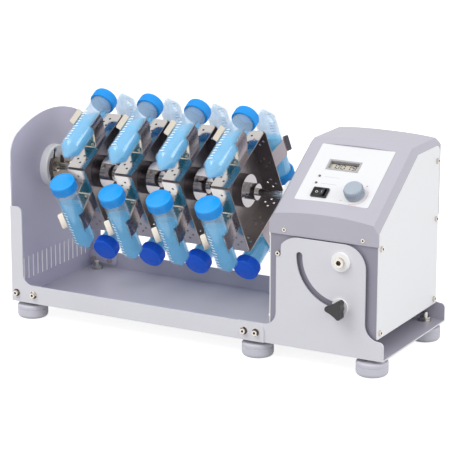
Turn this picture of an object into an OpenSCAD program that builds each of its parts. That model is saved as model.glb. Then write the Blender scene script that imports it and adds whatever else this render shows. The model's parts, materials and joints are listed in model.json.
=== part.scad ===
// Tube rotator: a tilting control head drives a horizontal shaft with square frames that hold
// conical tubes in spring clips. X runs along the shaft, Y from front to back, Z up.
// Every part is drawn with X = 0 at the left end of the base, Y = 0 at its front face and
// Z = 0 on the bench, and at_origin() then moves it so that the model's box is centred.

/* [Base] */
// Length of the whole base
base_l = 548; // [500:1:620]
// Depth of the base over its flanges
base_d = 198; // [190:1:230]
// Height of the underside of the floor above the bench
floor_z = 23; // [22:0.5:30]
// Height of the flanges from the underside of the floor
flange_h = 24.5; // [20:0.5:28]
// Thickness of the sheet of the base
sheet = 2; // [1.5:0.1:2.5]
// Length of the tray's flanges
tray_l = 383; // [370:1:386]
// Length over which the tray's flanges lap the bracket's
lap_l = 38; // [32:1:44]

/* [End plate] */
// Height of the end plate's crown above the bench
end_top = 270.5; // [255:0.5:290]
// Rise of the crown between the shoulders
end_crown = 8.5; // [4:0.5:16]
// Radius of the end plate's shoulders
shoulder_r = 30; // [15:1:45]
// Height of the uprights at the tray's left end above the bench
upright_top = 154.5; // [110:0.5:200]
// Width of the uprights
upright_w = 18; // [12:0.5:24]
// Number of vent slots
vent_n = 16; // [4:1:16]
// Spacing of the vent slots
vent_pitch = 11; // [8:0.5:11.5]
// Width of a vent slot
vent_w = 2.4; // [1.5:0.1:4]
// Height of a vent slot
vent_h = 31; // [10:1:60]
// Height of the lower end of the vent slots above the bench
vent_z = 45; // [40:1:60]

/* [Tilt bracket] */
// Left edge of the arched plates, from the left end of the base
arch_x0 = 399; // [396:0.5:403]
// Right edge of the arched plates
arch_x1 = 522; // [516:0.5:526]
// Top of the arched plates above the bench
arch_top = 166; // [160:0.5:176]
// Radius of the upper corners of the arched plates
arch_r = 30; // [20:1:36]
// Place of the tilt axis along the base
pivot_x = 489.3; // [484:0.1:494]
// Height of the tilt axis above the bench
pivot_z = 144; // [138:0.5:150]
// Radius of the arc slot's centre line
slot_r = 58; // [50:0.5:62]
// Width of the arc slot
slot_w = 8.6; // [8.6:0.1:10]
// Tilt of the head from rest to its far stop, in degrees
tilt_range = 90; // [30:5:90]

/* [Feet] */
// Radius of a rubber foot
foot_r = 20.5; // [16:0.5:24]
// Height of the rubber
foot_h = 18.5; // [14:0.5:20]
// Diameter of the foot's stud
stud_d = 8; // [6:0.5:10]
// Height of the stud's tip above the floor
stud_up = 12.5; // [10:0.5:14]
// Distance of the feet from the front and rear faces
foot_in = 17.5; // [15:0.5:20]
// Place of the middle pair of feet, from the left end of the base
foot_mid_x = 366; // [358:1:374]

/* [Head] */
// Left face of the control head, from the left end of the base
head_x = 387; // [384:0.5:389]
// Width of the control head
head_w = 150; // [140:1:156]
// Gap between the bracket plates and the head's lower housing
head_gap = 4; // [3:0.5:6]
// Underside of the head above the bench
head_bottom = 48.5; // [46:0.5:52]
// Joint between the lower housing and the top cover, above the bench
split_z = 167; // [160:0.5:172]
// Height at which the front face turns into the slope
brow_z = 193; // [185:0.5:198]
// Height of the upper end of the slope, at the head's sides
head_top = 268; // [255:0.5:280]
// Depth of the slope from the cover's front face
slope_d = 110; // [100:1:125]
// Rise of the cover's crown
crown = 4.5; // [2:0.5:6]
// Wall of the top cover
cover_wall = 2.5; // [2:0.1:3.5]
// Thickness of the sheets of the lower housing
chassis_t = 2; // [1.2:0.1:2.5]
// Thickness of the side panels
panel_t = 1.5; // [1:0.1:2]
// Radius of the cover's rear top edge
rear_r = 12; // [6:0.5:18]

/* [Controls] */
// Width of the control label
label_w = 101.5; // [95:0.5:108]
// Height of the control label along the slope
label_h = 97.5; // [90:0.5:104]
// Thickness of the control label
label_t = 1; // [0.6:0.1:1.5]
// Width of the display bezel
bezel_w = 45; // [40:0.5:50]
// Height of the display bezel
bezel_h = 18; // [15:0.5:22]
// Width of the rocker switch's frame
switch_w = 21.5; // [18:0.5:26]
// Height of the rocker switch's frame
switch_h = 15.5; // [12:0.5:18]
// Swing of the rocker from one side to the other, in degrees
rocker_swing = 16; // [8:1:20]
// Diameter of the speed knob at its skirt
knob_d = 29; // [22:0.5:34]
// Height of the speed knob
knob_h = 19; // [12:0.5:24]

/* [Shaft] */
// Height of the shaft above the bench
axis_z = 191; // [186:0.5:200]
// Diameter of the shaft
shaft_d = 10; // [8:0.5:12]
// Diameter of the white boss on the end plate
boss_d = 58; // [48:1:64]
// Thickness of the white boss
boss_t = 11; // [8:0.5:13]
// Diameter of the hub disc on the head
hub_disc_d = 41; // [36:0.5:46]
// Length of the hub disc outside the head
hub_disc_l = 21; // [18:0.5:24]

/* [Frames] */
// Spacing of the frames along the shaft
frame_pitch = 72; // [60:0.5:72]
// Free edge of the last frame, from the left end of the base
frame_end = 321; // [316:0.5:324]
// Side of a frame over its flanges
frame_s = 114; // [104:1:120]
// Depth of a frame, which is the width of its flanges
frame_w = 27; // [26:0.5:30]
// Sheet of a frame
frame_t = 1.5; // [1:0.1:2]
// Turn of the frames about the shaft at rest, in degrees
frame_turn = 30.5; // [0:0.5:45]
// Diameter of the circle of four holes
hole_circle = 13; // [11:0.5:15]
// Diameter of the holes in the flanges
hole_d = 3.2; // [2.5:0.1:4]

/* [Tubes and clips] */
// Diameter of a tube
tube_d = 29.2; // [27:0.1:30]
// Length of a tube without its cap
tube_l = 113; // [100:0.5:116]
// Length of a tube's cone
cone_l = 16; // [10:0.5:20]
// Diameter of a cap
cap_d = 34.5; // [33.5:0.1:36]
// Height of a cap
cap_h = 14; // [10:0.5:16]
// Distance of a tube's axis from the flange that carries it
tube_off = 28.7; // [26:0.1:31]
// Distance of a tube's middle from its frame's free edge
tube_in = 15.5; // [12:0.5:17]
// Distance that the tube's middle is pushed towards its tip
tube_slip = 2; // [0:0.5:4]
// Width of a clip along the tube
clip_w = 21.5; // [16:0.5:26]
// Thickness of a clip's spring strip
clip_t = 1; // [0.6:0.1:1.2]

/* [Hidden] */
$fn = 64;
eps = 0.01;
run_gap = 0.05;       // radial clearance of a piece that turns on another
seat_gap = 0.02;      // radial clearance of a piece that is fixed on another
clear = 0.3;          // clearance between pieces that only stand beside each other
FEET = 6;
FRAMES = 4;
CROWN_STEPS = 24;

mid_y = base_d/2;
floor_top = floor_z + sheet;
flange_top = floor_z + flange_h;
flange_r = 10;
upright_r = 8;
upright_fillet = 14;
bracket_x0 = tray_l - lap_l;
bracket_end_r = 6;
plate_y = sheet;                       // outer face of the bracket's front plate
plate_in = 2*sheet;                    // inner face of the bracket's front plate
left_fillet = 18;
right_fillet = 20;
stud_r = stud_d/2;
foot_x = [foot_r + 1, foot_mid_x, base_l - foot_r - 1];

// Screws in the flanges: height, head, washer
flange_screw_z = floor_z + flange_h/2;
end_screws = [8, 35];
lap_screws = [bracket_x0 + 10, tray_l - 11];
socket_d = 8.5;
socket_h = 5;
washer_d = 10;
washer_t = 1;
screw_d = 4;
tab_l = 46;
tab_top = flange_top - 0.5;
tab_bottom = floor_top + 5;
tab_r = 5;

// Head
head_y = plate_in + head_gap;          // front face of the lower housing
head_back = base_d - head_y;
cover_y = head_y - 2;                  // front face of the cover
cover_back = base_d - cover_y;
head_mid = head_x + head_w/2;
slope_a = atan2(head_top - brow_z, slope_d);
slope_l = norm([slope_d, head_top - brow_z]);
edge_in = 7;                           // how far the bevel runs in from the side
edge_drop = 9;                         // how far the bevel runs down from the sloping face
crown_half = head_w/2 - edge_in;
crown_R = (crown_half*crown_half + crown*crown)/(2*crown);
crest_room = 0.5;                      // the side profile stays this far above the crown's crest
label_face = crown/2 + 0.2;            // outer face of the label above the slope's edges
label_v = 25.2;                        // lower edge of the label from the brow
panel_screws = [[14.5, 164], [14.5, 56], [182, 240], [182, 164], [182, 56]];
panel_screw_y = [head_y + 6.5, head_back - 8];
panel_screw_z = [head_bottom + 7.5, split_z - 3.5, head_top - 28];
panel_flange = 15;
fascia_u = 54;
fascia_z = split_z + 6;
button_d = 7;
button_h = 2.6;
small_screw_d = 3;
small_screw_l = 7;

// Back of the cover
inlet_x = head_x + 106;
inlet_z = split_z + 48;
inlet_w = 27.4;
inlet_h = 20.4;
BACK_VENTS = 7;

// Controls, as [across from the head's middle, up the slope from the brow]
bezel_at = [-7.6, 89];
lamp_at = [[-32.5, 67.7], [-32.5, 56]];
switch_at = [-20.5, 40];
knob_at = [26, 44];
lamp_d = 3.4;
bezel_rim = 2.6;
spindle_d = 6;
bush_d = 9;
rocker_t = 9;
KNOB_RIBS = 36;

// Shaft line
shaft_r = shaft_d/2;
boss_x = sheet + boss_t;
saddle_t = 6;
saddle_w = 46;
saddle_h = 27;
saddle_screw = 16;
shaft_x0 = boss_x + 0.6;
hub_x0 = head_x - hub_disc_l;
bearing_d = 26;
bearing_w = 8;
spigot_d = 31;
spigot_l = 12;
hub_lip = 2.5;
coupling_x0 = head_x + spigot_l + 3;
coupling_l = 26;
coupling_d = 22;
coupling_mid = coupling_x0 + coupling_l/2;
motor_plate_x = coupling_x0 + coupling_l + 2;
motor_plate_t = 3;
gearbox_d = 52;
gearbox_l = 26;
motor_d = 44;
motor_l = 42;
motor_pilot = 12;

// Frames
half_s = frame_s/2;
flange_gap = 1;                        // gap at a frame's corners
flange_len = frame_s - 2*(frame_t + flange_gap);
flange_corner = 4;
pattern_at = flange_len/2 - 17;
hub_flange_r = 22;
hub_flange_l = 14;
hub_boss_r = 11;
hub_boss_l = 12.5;
hub_screw_r = 16.5;
tube_r = tube_d/2;
tube_wall = 1.3;
cap_wall = 1.6;
clip_r = tube_r + 0.15;                // inner radius of the clip round the tube
clip_foot = 9;                         // half width of the clip's flat foot
clip_low = -12;                        // angle at which a clip's arm meets its grip
clip_high = 44;                        // angle at which the grip ends in the lip
lip_l = 7.5;
tube_reach = tube_l + cap_wall;
clip_screw = hole_circle/2;

// Lock and pivot
pivot_d = 8;
pivot_washer_d = 24.6;
pivot_washer_t = 4;
lock_d = 8;
lock_washer_d = 22;
lock_washer_t = 3;
lock_knob_r = 15;
lock_knob_l = 20;
stop_d = 7;
stop_at = [pivot_x - arch_x0 - 2.4, 1.2];    // stop screw to the left of and below the tilt axis
lock_reach = lock_washer_t + lock_knob_l + 4;
front_reach = lock_reach - plate_y;
back_reach = pivot_washer_t + socket_h - plate_y;
cap_edge = 1;
cap_end = tube_reach/2 - tube_slip;          // cap's end face along the flange
cap_out = half_s + tube_off + cap_d/2;       // cap's far side from the shaft
rotor_reach = (cap_end - cap_edge)*sin(frame_turn) + (cap_out - cap_edge)*cos(frame_turn) + cap_edge;
y_front = min(-front_reach, mid_y - rotor_reach);
y_back = max(base_d + back_reach, mid_y + rotor_reach);
shift_y = (y_front + y_back)/2;

// ---------- placing ----------

// Moves a part drawn in base coordinates to the model's own origin
module at_origin() {
    translate([-base_l/2, -shift_y, 0]) children();
}

// Extrudes an outline drawn in X and Z from y0 over a depth
module wall_xz(y0, depth) {
    translate([0, y0 + depth, 0]) rotate([90, 0, 0]) linear_extrude(depth) children();
}

// Extrudes an outline drawn in Y and Z from x0 over a length
module wall_yz(x0, length) {
    translate([x0, 0, 0]) rotate([90, 0, 90]) linear_extrude(length) children();
}

// The same part at the front and mirrored to the back of the base
module front_and_back() {
    children();
    translate([0, base_d, 0]) mirror([0, 1, 0]) children();
}

// The corner that a rounding of radius r takes off a square corner at the origin
module corner_off(r) {
    difference() {
        translate([-eps, -eps]) square(r + eps);
        translate([r, r]) circle(r);
    }
}

// Rectangle with four rounded corners, centred
module rounded_rect(w, h, r) {
    difference() {
        square([w, h], center = true);
        for (sx = [-1, 1], sy = [-1, 1]) {
            scale_corner(sx, sy, w, h) corner_off(r);
        }
    }
}

// Puts corner_off at one corner of a centred rectangle
module scale_corner(sx, sy, w, h) {
    mirror([sx > 0 ? 1 : 0, 0]) mirror([0, sy > 0 ? 1 : 0]) translate([-w/2, -h/2]) children();
}

// Cylinder along Y from y0
module rod_y(x, z, y0, length, d) {
    translate([x, y0 + length, z]) rotate([90, 0, 0]) cylinder(d = d, h = length);
}

// Cylinder along X from x0
module rod_x(y, z, x0, length, d) {
    translate([x0, y, z]) rotate([0, 90, 0]) cylinder(d = d, h = length);
}

// Socket-head screw whose head's seat is at z = 0 and whose head stands up
module socket_screw(d, head_d, head_h, shank) {
    difference() {
        union() {
            cylinder(d = head_d, h = head_h);
            translate([0, 0, -shank]) cylinder(d = d, h = shank + eps);
        }
        translate([0, 0, head_h*0.4]) cylinder(d = head_d*0.52, h = head_h, $fn = 6);
    }
}

// ---------- base ----------

// Outline of the tray's flange with its upright
module tray_flange_outline() {
    difference() {
        union() {
            translate([0, floor_z]) square([tray_l, flange_h]);
            translate([0, floor_z]) square([upright_w, upright_top - floor_z]);
            translate([upright_w, flange_top]) corner_off(upright_fillet);
        }
        translate([upright_w, upright_top]) mirror([1, 0]) mirror([0, 1]) corner_off(upright_r);
        translate([tray_l, flange_top]) mirror([1, 0]) mirror([0, 1]) corner_off(flange_r);
    }
}

module base_tray() {
    color([0.86, 0.86, 0.87]) at_origin() difference() {
        union() {
            translate([0, 0, floor_z]) cube([bracket_x0, base_d, sheet]);
            front_and_back() wall_xz(0, sheet) tray_flange_outline();
        }
        for (x = concat(end_screws, lap_screws)) {
            rod_y(x, flange_screw_z, -eps, sheet + 2*eps, screw_d + clear);
            rod_y(x, flange_screw_z, base_d - sheet - eps, sheet + 2*eps, screw_d + clear);
        }
        for (y = [foot_in, base_d - foot_in]) {
            translate([foot_x[0], y, floor_z - eps]) cylinder(d = stud_d + clear, h = sheet + 2*eps);
        }
    }
}

// Outline of the end plate: shoulders and a shallow crown
module end_plate_outline() {
    span = base_d - 2*sheet;
    rise_half = span/2;
    crown_r = (rise_half*rise_half + end_crown*end_crown)/(2*end_crown);
    intersection() {
        difference() {
            translate([sheet, floor_top]) square([span, end_top - floor_top]);
            for (m = [0, 1]) {
                translate([mid_y, 0]) mirror([m, 0]) translate([-rise_half, end_top - end_crown/2])
                    mirror([0, 1]) corner_off(shoulder_r);
            }
        }
        translate([mid_y, end_top - crown_r]) circle(crown_r, $fn = 128);
    }
}

module end_tab() {
    difference() {
        wall_xz(sheet, sheet) difference() {
            translate([0, tab_bottom]) square([tab_l, tab_top - tab_bottom]);
            translate([tab_l, tab_bottom]) mirror([1, 0]) corner_off(tab_r);
        }
        for (x = end_screws) {
            rod_y(x, flange_screw_z, 0, 3*sheet, screw_d + clear);
        }
    }
}

module end_plate() {
    color([0.66, 0.66, 0.7]) at_origin() difference() {
        union() {
            wall_yz(0, sheet) end_plate_outline();
            front_and_back() end_tab();
        }
        for (k = [0:vent_n - 1]) {
            y = mid_y + (k - (vent_n - 1)/2)*vent_pitch;
            translate([-eps, y - vent_w/2, vent_z + vent_w/2]) cube([sheet + 2*eps, vent_w, vent_h - vent_w]);
            rod_x(y, vent_z + vent_w/2, -eps, sheet + 2*eps, vent_w);
            rod_x(y, vent_z + vent_h - vent_w/2, -eps, sheet + 2*eps, vent_w);
        }
        boss_screw_places() rod_x(0, 0, -eps, sheet + 2*eps, small_screw_d + clear);
    }
}

// Places of the three screws that hold the white boss
module boss_screw_places() {
    for (a = [105, 225, 345]) {
        translate([0, mid_y + boss_d*0.4*cos(a), axis_z + boss_d*0.4*sin(a)]) children();
    }
}

module end_boss() {
    edge = 2;
    color("white") at_origin() difference() {
        translate([sheet, mid_y, axis_z]) rotate([0, 90, 0]) rotate_extrude() difference() {
            square([boss_d/2, boss_t]);
            translate([boss_d/2, boss_t]) mirror([1, 0]) mirror([0, 1]) corner_off(edge);
        }
        boss_screw_places() rod_x(0, 0, 0, boss_x + eps, small_screw_d + clear);
        boss_screw_places() rod_x(0, 0, boss_x - button_h, button_h + eps, button_d + clear);
        for (s = [-1, 1]) {
            rod_x(mid_y + s*saddle_screw, axis_z, boss_x - 8, 8 + eps, screw_d + 2*seat_gap);
        }
    }
}

// Two-bolt plate with an open-topped seat: the shaft's end lies in it and lifts out when the head tilts
module shaft_saddle() {
    seat_d = shaft_d + 2*run_gap;
    color([0.5, 0.49, 0.47]) at_origin() difference() {
        wall_yz(boss_x, saddle_t) translate([mid_y, axis_z]) difference() {
            intersection() {
                circle(saddle_w/2);
                for (s = [-1, 1]) {
                    translate([0, s*(saddle_w - saddle_h/2)]) circle(saddle_w);
                }
                translate([-saddle_w/2, -saddle_h/2]) square([saddle_w, saddle_h]);
            }
            circle(d = seat_d);
            translate([-seat_d/2, 0]) square([seat_d, saddle_h]);
        }
        for (s = [-1, 1]) {
            rod_x(mid_y + s*saddle_screw, axis_z, boss_x - eps, saddle_t + 2*eps, screw_d + clear);
        }
    }
}

// Profile of an arched bracket plate, from the lap to the right end of the base
module bracket_outline() {
    difference() {
        union() {
            translate([bracket_x0, floor_z]) square([base_l - bracket_x0, flange_h]);
            translate([arch_x0, floor_z]) square([arch_x1 - arch_x0, arch_top - floor_z]);
            translate([arch_x0, flange_top]) mirror([1, 0]) corner_off(left_fillet);
            translate([arch_x1, flange_top]) corner_off(right_fillet);
        }
        translate([arch_x0, arch_top]) mirror([0, 1]) corner_off(arch_r);
        translate([arch_x1, arch_top]) mirror([1, 0]) mirror([0, 1]) corner_off(arch_r);
        translate([base_l, flange_top]) mirror([1, 0]) mirror([0, 1]) corner_off(bracket_end_r);
    }
}

// Arc slot round the tilt axis, from straight below it to the far stop
module arc_slot() {
    far = 270 - tilt_range;
    translate([pivot_x, pivot_z]) {
        intersection() {
            difference() {
                circle(slot_r + slot_w/2);
                circle(slot_r - slot_w/2);
            }
            polygon([[0, 0], [0, -2*slot_r], [-2*slot_r, -2*slot_r],
                [2*slot_r*cos(far), 2*slot_r*sin(far)]]);
        }
        for (a = [far, 270]) {
            translate([slot_r*cos(a), slot_r*sin(a)]) circle(d = slot_w);
        }
    }
}

// Bite in the plate's left edge in which the stop screw rests, and the way out of it about the tilt axis
module stop_notch() {
    reach = norm(stop_at);
    bite = stop_d/2 + clear;
    translate([pivot_x - stop_at[0], pivot_z - stop_at[1]]) circle(bite);
    translate([pivot_x, pivot_z]) intersection() {
        difference() {
            circle(reach + bite);
            circle(reach - bite);
        }
        polygon([[0, 0], -2*stop_at, [-2*reach, reach]]);
    }
}

module tilt_bracket() {
    color([0.84, 0.84, 0.85]) at_origin() difference() {
        union() {
            translate([bracket_x0, sheet, floor_z]) cube([base_l - bracket_x0, base_d - 2*sheet, sheet]);
            wall_xz(plate_y, sheet) difference() {
                bracket_outline();
                arc_slot();
                stop_notch();
            }
            wall_xz(base_d - plate_in, sheet) bracket_outline();
        }
        rod_y(pivot_x, pivot_z, 0, base_d, pivot_d + 2*seat_gap);
        for (x = lap_screws) {
            rod_y(x, flange_screw_z, 0, base_d, screw_d + clear);
        }
        for (x = [foot_x[1], foot_x[2]], y = [foot_in, base_d - foot_in]) {
            translate([x, y, floor_z - eps]) cylinder(d = stud_d + clear, h = sheet + 2*eps);
        }
    }
}

// Washer and socket screw in a flange, seen from the front, with its nut inside
module flange_screw(x, grip) {
    translate([x, -washer_t, flange_screw_z]) rotate([90, 0, 0])
        socket_screw(screw_d, socket_d - 1.5, socket_h - 1, washer_t + grip + 3.2);
    difference() {
        rod_y(x, flange_screw_z, -washer_t, washer_t, washer_d);
        rod_y(x, flange_screw_z, -washer_t - eps, washer_t + 2*eps, screw_d + 2*seat_gap);
    }
    difference() {
        translate([x, grip + 3, flange_screw_z]) rotate([90, 0, 0]) cylinder(d = 8, h = 3, $fn = 6);
        rod_y(x, flange_screw_z, grip - eps, 3 + 2*eps, screw_d + 2*seat_gap);
    }
}

module base_screws() {
    color([0.75, 0.73, 0.7]) at_origin() {
        front_and_back() for (x = concat(end_screws, lap_screws)) {
            flange_screw(x, 2*sheet);
        }
        for (s = [-1, 1]) {
            translate([boss_x + saddle_t, mid_y + s*saddle_screw, axis_z]) rotate([0, 90, 0])
                socket_screw(screw_d, socket_d - 1, socket_h - 1, saddle_t + 7);
        }
        boss_screw_places() translate([boss_x - button_h, 0, 0]) rotate([0, 90, 0])
            socket_screw(small_screw_d, button_d - 1, button_h - 0.4, boss_t - button_h + sheet);
    }
}

// ---------- feet ----------

// Centre of a foot, counted along the front and then along the back
function foot_place(i) = [foot_x[(i - 1) % 3], i <= 3 ? foot_in : base_d - foot_in];

module at_foot(i) {
    at_origin() translate([foot_place(i)[0], foot_place(i)[1], 0]) children();
}

module foot_nuts() {
    nut_h = 5.5;
    color([0.8, 0.8, 0.8]) for (i = [1:FEET]) {
        at_foot(i) translate([0, 0, floor_top]) difference() {
            union() {
                cylinder(d = 16, h = 1.2);
                cylinder(d = 14.4, h = nut_h, $fn = 6);
            }
            translate([0, 0, -eps]) cylinder(r = stud_r + run_gap, h = nut_h + 2*eps);
        }
    }
}

module foot_pad(i) {
    hollow = foot_h - 6;
    color([0.8, 0.8, 0.82]) at_foot(i) difference() {
        rotate_extrude() difference() {
            square([foot_r, foot_h]);
            translate([foot_r, 0]) mirror([1, 0]) corner_off(5);
            translate([foot_r, foot_h]) mirror([1, 0]) mirror([0, 1]) corner_off(2.5);
            translate([foot_r, foot_h*0.68]) circle(0.7, $fn = 16);
        }
        translate([0, 0, foot_h - hollow]) cylinder(r = stud_r + seat_gap, h = hollow + eps);
    }
}

module foot_stud(i) {
    collar_h = floor_z - foot_h - 0.6;
    color([0.75, 0.75, 0.75]) at_foot(i) union() {
        translate([0, 0, 6]) cylinder(r = stud_r, h = floor_top + stud_up - 7);
        translate([0, 0, floor_top + stud_up - 1]) cylinder(r1 = stud_r, r2 = stud_r - 0.8, h = 1);
        translate([0, 0, foot_h]) cylinder(d = 15, h = collar_h, $fn = 6);
    }
}

// ---------- tilt pivot and lock ----------

module pivot_bolt() {
    inner = head_y + chassis_t;
    translate([pivot_x, plate_y - pivot_washer_t, pivot_z]) rotate([90, 0, 0])
        socket_screw(pivot_d, socket_d + 4.5, socket_h, inner - plate_y + pivot_washer_t + 9);
    translate([pivot_x, inner + 0.5 + 6, pivot_z]) rotate([90, 0, 0]) difference() {
        cylinder(d = 15, h = 6, $fn = 6);
        translate([0, 0, -eps]) cylinder(d = pivot_d + 2*seat_gap, h = 6 + 2*eps);
    }
}

module pivot_bolts() {
    color([0.74, 0.72, 0.68]) at_origin() front_and_back() pivot_bolt();
}

module plain_washer(x, z, y0, t, d, bore) {
    difference() {
        rod_y(x, z, y0, t, d);
        rod_y(x, z, y0 - eps, t + 2*eps, bore);
    }
}

module pivot_washers() {
    color("white") at_origin() front_and_back() {
        plain_washer(pivot_x, pivot_z, plate_y - pivot_washer_t, pivot_washer_t, pivot_washer_d,
            pivot_d + 2*seat_gap);
        plain_washer(pivot_x, pivot_z, plate_in, head_gap - 0.1, pivot_washer_d, pivot_d + 2*seat_gap);
    }
}

module lock_washer() {
    color("white") at_origin() plain_washer(pivot_x, pivot_z - slot_r, plate_y - clear - lock_washer_t,
        lock_washer_t, lock_washer_d, lock_d + 2*run_gap);
}

module lock_stud() {
    start = plate_y - clear - lock_washer_t - 12;
    color([0.7, 0.7, 0.7]) at_origin()
        rod_y(pivot_x, pivot_z - slot_r, start, head_y + chassis_t + 6 - start, lock_d);
}

// Three-sided knob with bowed flanks, as an intersection of three arcs
module lock_knob() {
    bow = lock_knob_r*1.15;
    back = plate_y - clear - lock_washer_t - clear;
    front = -front_reach;
    color([0.12, 0.12, 0.13]) at_origin() difference() {
        translate([pivot_x, back, pivot_z - slot_r]) rotate([90, 0, 0]) union() {
            cylinder(d = 14, h = 5);
            translate([0, 0, 4]) linear_extrude(back - front - 4) intersection() {
                circle(lock_knob_r);
                for (a = [30, 150, 270]) {
                    rotate(a) translate([bow*0.62, 0]) circle(bow);
                }
            }
        }
        rod_y(pivot_x, pivot_z - slot_r, back - 12.2, 12.2 + eps, lock_d + 2*seat_gap);
    }
}

// ---------- head ----------

// Side profile of the head from its underside to the top, grown upwards by rise and shrunk by inset
module head_profile(inset, rise) {
    up = rise - inset;
    y0 = cover_y + inset;
    y1 = cover_back - inset;
    z0 = split_z;
    drop = up/cos(slope_a);
    brow = brow_z + drop + inset*tan(slope_a);
    top = head_top + up;
    top_y = cover_y + (top - brow_z - drop)/tan(slope_a);
    difference() {
        polygon([[y0, z0], [y0, brow], [top_y, top], [y1, top], [y1, z0]]);
        translate([y1, top]) mirror([1, 0]) mirror([0, 1]) corner_off(rear_r);
    }
}

// Height of the crown at a distance u from the head's middle
function crown_at(u) = sqrt(crown_R*crown_R - u*u) - crown_R + crown;

// Cross-section of the cover with bevelled edges and a crowned or flat top at height 0
module crowned_section(inset, crowned, drop, below) {
    half = head_w/2 - inset;
    top = [for (k = [0:CROWN_STEPS]) let (u = (half - edge_in)*(1 - 2*k/CROWN_STEPS))
        [u, crowned ? crown_at(u) : -inset]];
    polygon(concat([[-half, -below], [half, -below], [half, -drop - inset]], top, [[-half, -drop - inset]]));
}

// The head's upper form: side profile, crowned slope and crowned top cut from one another
module head_form(inset, crowned) {
    reach = 400;
    intersection() {
        wall_yz(head_x + inset, head_w - 2*inset) head_profile(inset, crowned ? crown + crest_room : 0);
        translate([head_mid, cover_y, brow_z]) rotate([slope_a + 90, 0, 0]) translate([0, 0, -reach])
            linear_extrude(2*reach) crowned_section(inset, crowned, edge_drop, reach);
        translate([head_mid, reach, head_top]) rotate([90, 0, 0])
            linear_extrude(2*reach) crowned_section(inset, crowned, edge_drop - 1, reach);
    }
}

// Places a part on the slope: X across from the head's middle, Y up the slope, Z outwards
module on_slope() {
    translate([head_mid, cover_y, brow_z]) rotate([slope_a, 0, 0]) children();
}

// Outline of a side panel in Y and Z
module side_panel_outline(gap) {
    y0 = cover_y + 2 + gap;
    y1 = cover_back - 2 - gap;
    low = brow_z - edge_drop/cos(slope_a) - gap;
    top = head_top - edge_drop + 1 - gap;
    top_y = cover_y + (top - low)/tan(slope_a);
    difference() {
        polygon([[y0, head_bottom + gap], [y0, low + 2*tan(slope_a)], [top_y, top], [y1, top],
            [y1, head_bottom + gap]]);
        translate([y1, top]) mirror([1, 0]) mirror([0, 1]) corner_off(rear_r - 2);
    }
}

// Calls its children at each screw of a side panel, in Y and Z
module panel_screw_places() {
    for (y = panel_screw_y, z = [panel_screw_z[0], panel_screw_z[1]]) {
        translate([0, y, z]) children();
    }
    translate([0, panel_screw_y[1], panel_screw_z[2]]) children();
}

// Threaded holes for the panel screws through both sides of what is drawn here
module panel_screw_holes(d) {
    panel_screw_places() rod_x(0, 0, head_x - 1, head_w + 2, d);
}

// Lower housing: front, underside and back in one folded sheet, with flanges for the side panels
module head_chassis() {
    inner_x = head_x + panel_t + 0.1;
    inner_w = head_w - 2*panel_t - 0.2;
    color([0.68, 0.68, 0.72]) at_origin() difference() {
        union() {
            translate([inner_x, head_y, head_bottom]) cube([inner_w, head_back - head_y, chassis_t]);
            front_and_back() translate([inner_x, head_y, head_bottom])
                cube([inner_w, chassis_t, split_z - head_bottom - 0.1]);
            front_and_back() for (x = [inner_x, inner_x + inner_w - chassis_t]) {
                translate([x, head_y, head_bottom]) cube([chassis_t, panel_flange, split_z - head_bottom - 0.1]);
            }
        }
        rod_y(pivot_x, pivot_z, 0, base_d, pivot_d + 2*run_gap);
        rod_y(pivot_x, pivot_z - slot_r, head_y - eps, chassis_t + 2*eps, lock_d + 2*run_gap);
        rod_y(pivot_x - stop_at[0], pivot_z - stop_at[1], head_y - eps, chassis_t + 2*eps,
            small_screw_d + 2*seat_gap);
        panel_screw_holes(small_screw_d + 2*seat_gap);
    }
}

// Cuts through the cover's sloping face for the controls
module control_cuts(depth) {
    on_slope() {
        translate([bezel_at[0], bezel_at[1], -depth]) linear_extrude(2*depth) square([bezel_w + 0.2, bezel_h + 0.2],
            center = true);
        for (p = lamp_at) {
            translate([p[0], p[1], -depth]) cylinder(d = lamp_d + 0.1, h = 2*depth);
        }
        translate([switch_at[0], switch_at[1], -depth]) linear_extrude(2*depth)
            square([switch_w - 2.4, switch_h - 1.8], center = true);
        translate([knob_at[0], knob_at[1], -depth]) cylinder(d = bush_d + 0.1, h = 2*depth);
    }
}

// Moulded cover: crowned slope and top, bevelled sides, a flat pocket for the label, rebates for the panels
module top_cover() {
    color([0.78, 0.78, 0.8]) at_origin() difference() {
        head_form(0, true);
        head_form(cover_wall, false);
        translate([head_x, cover_y + cover_wall, split_z - 1])
            translate([cover_wall, 0, 0]) cube([head_w - 2*cover_wall, cover_back - cover_y - 2*cover_wall, 3]);
        for (x = [head_x - eps, head_x + head_w - panel_t - 0.1]) {
            wall_yz(x, panel_t + 0.1 + eps) side_panel_outline(-0.15);
        }
        on_slope() translate([0, label_v + label_h/2, label_face - label_t]) linear_extrude(20)
            square([label_w + 0.4, label_h + 0.4], center = true);
        control_cuts(20);
        for (s = [-1, 1]) {
            rod_y(head_mid + s*fascia_u, fascia_z, cover_y - eps, cover_wall + 1, small_screw_d + 2*seat_gap);
        }
        rod_x(mid_y, axis_z, head_x - 1, cover_wall + 2, spigot_d + 2*clear);
        panel_screw_holes(small_screw_d + 2*seat_gap);
        translate([inlet_x, cover_back - cover_wall - 5, inlet_z]) rotate([-90, 0, 0]) linear_extrude(20)
            rounded_rect(inlet_w, inlet_h, 2);
        vent_rows();
    }
}

// Row of vent slots in the back of the cover
module vent_rows() {
    for (k = [0:BACK_VENTS - 1]) {
        translate([head_x + 26 + 7*k, cover_back - cover_wall - 1, inlet_z - 16])
            cube([2.4, cover_wall + 2, 32]);
    }
}

module side_panel(x) {
    difference() {
        wall_yz(x, panel_t) side_panel_outline(0);
        panel_screw_holes(small_screw_d + 2*clear);
        if (x < head_mid) {
            rod_x(mid_y, axis_z, x - 1, panel_t + 2, spigot_d + 2*clear);
        }
    }
}

module right_panel() {
    color([0.95, 0.95, 0.96]) at_origin() side_panel(head_x + head_w - panel_t);
}

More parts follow.
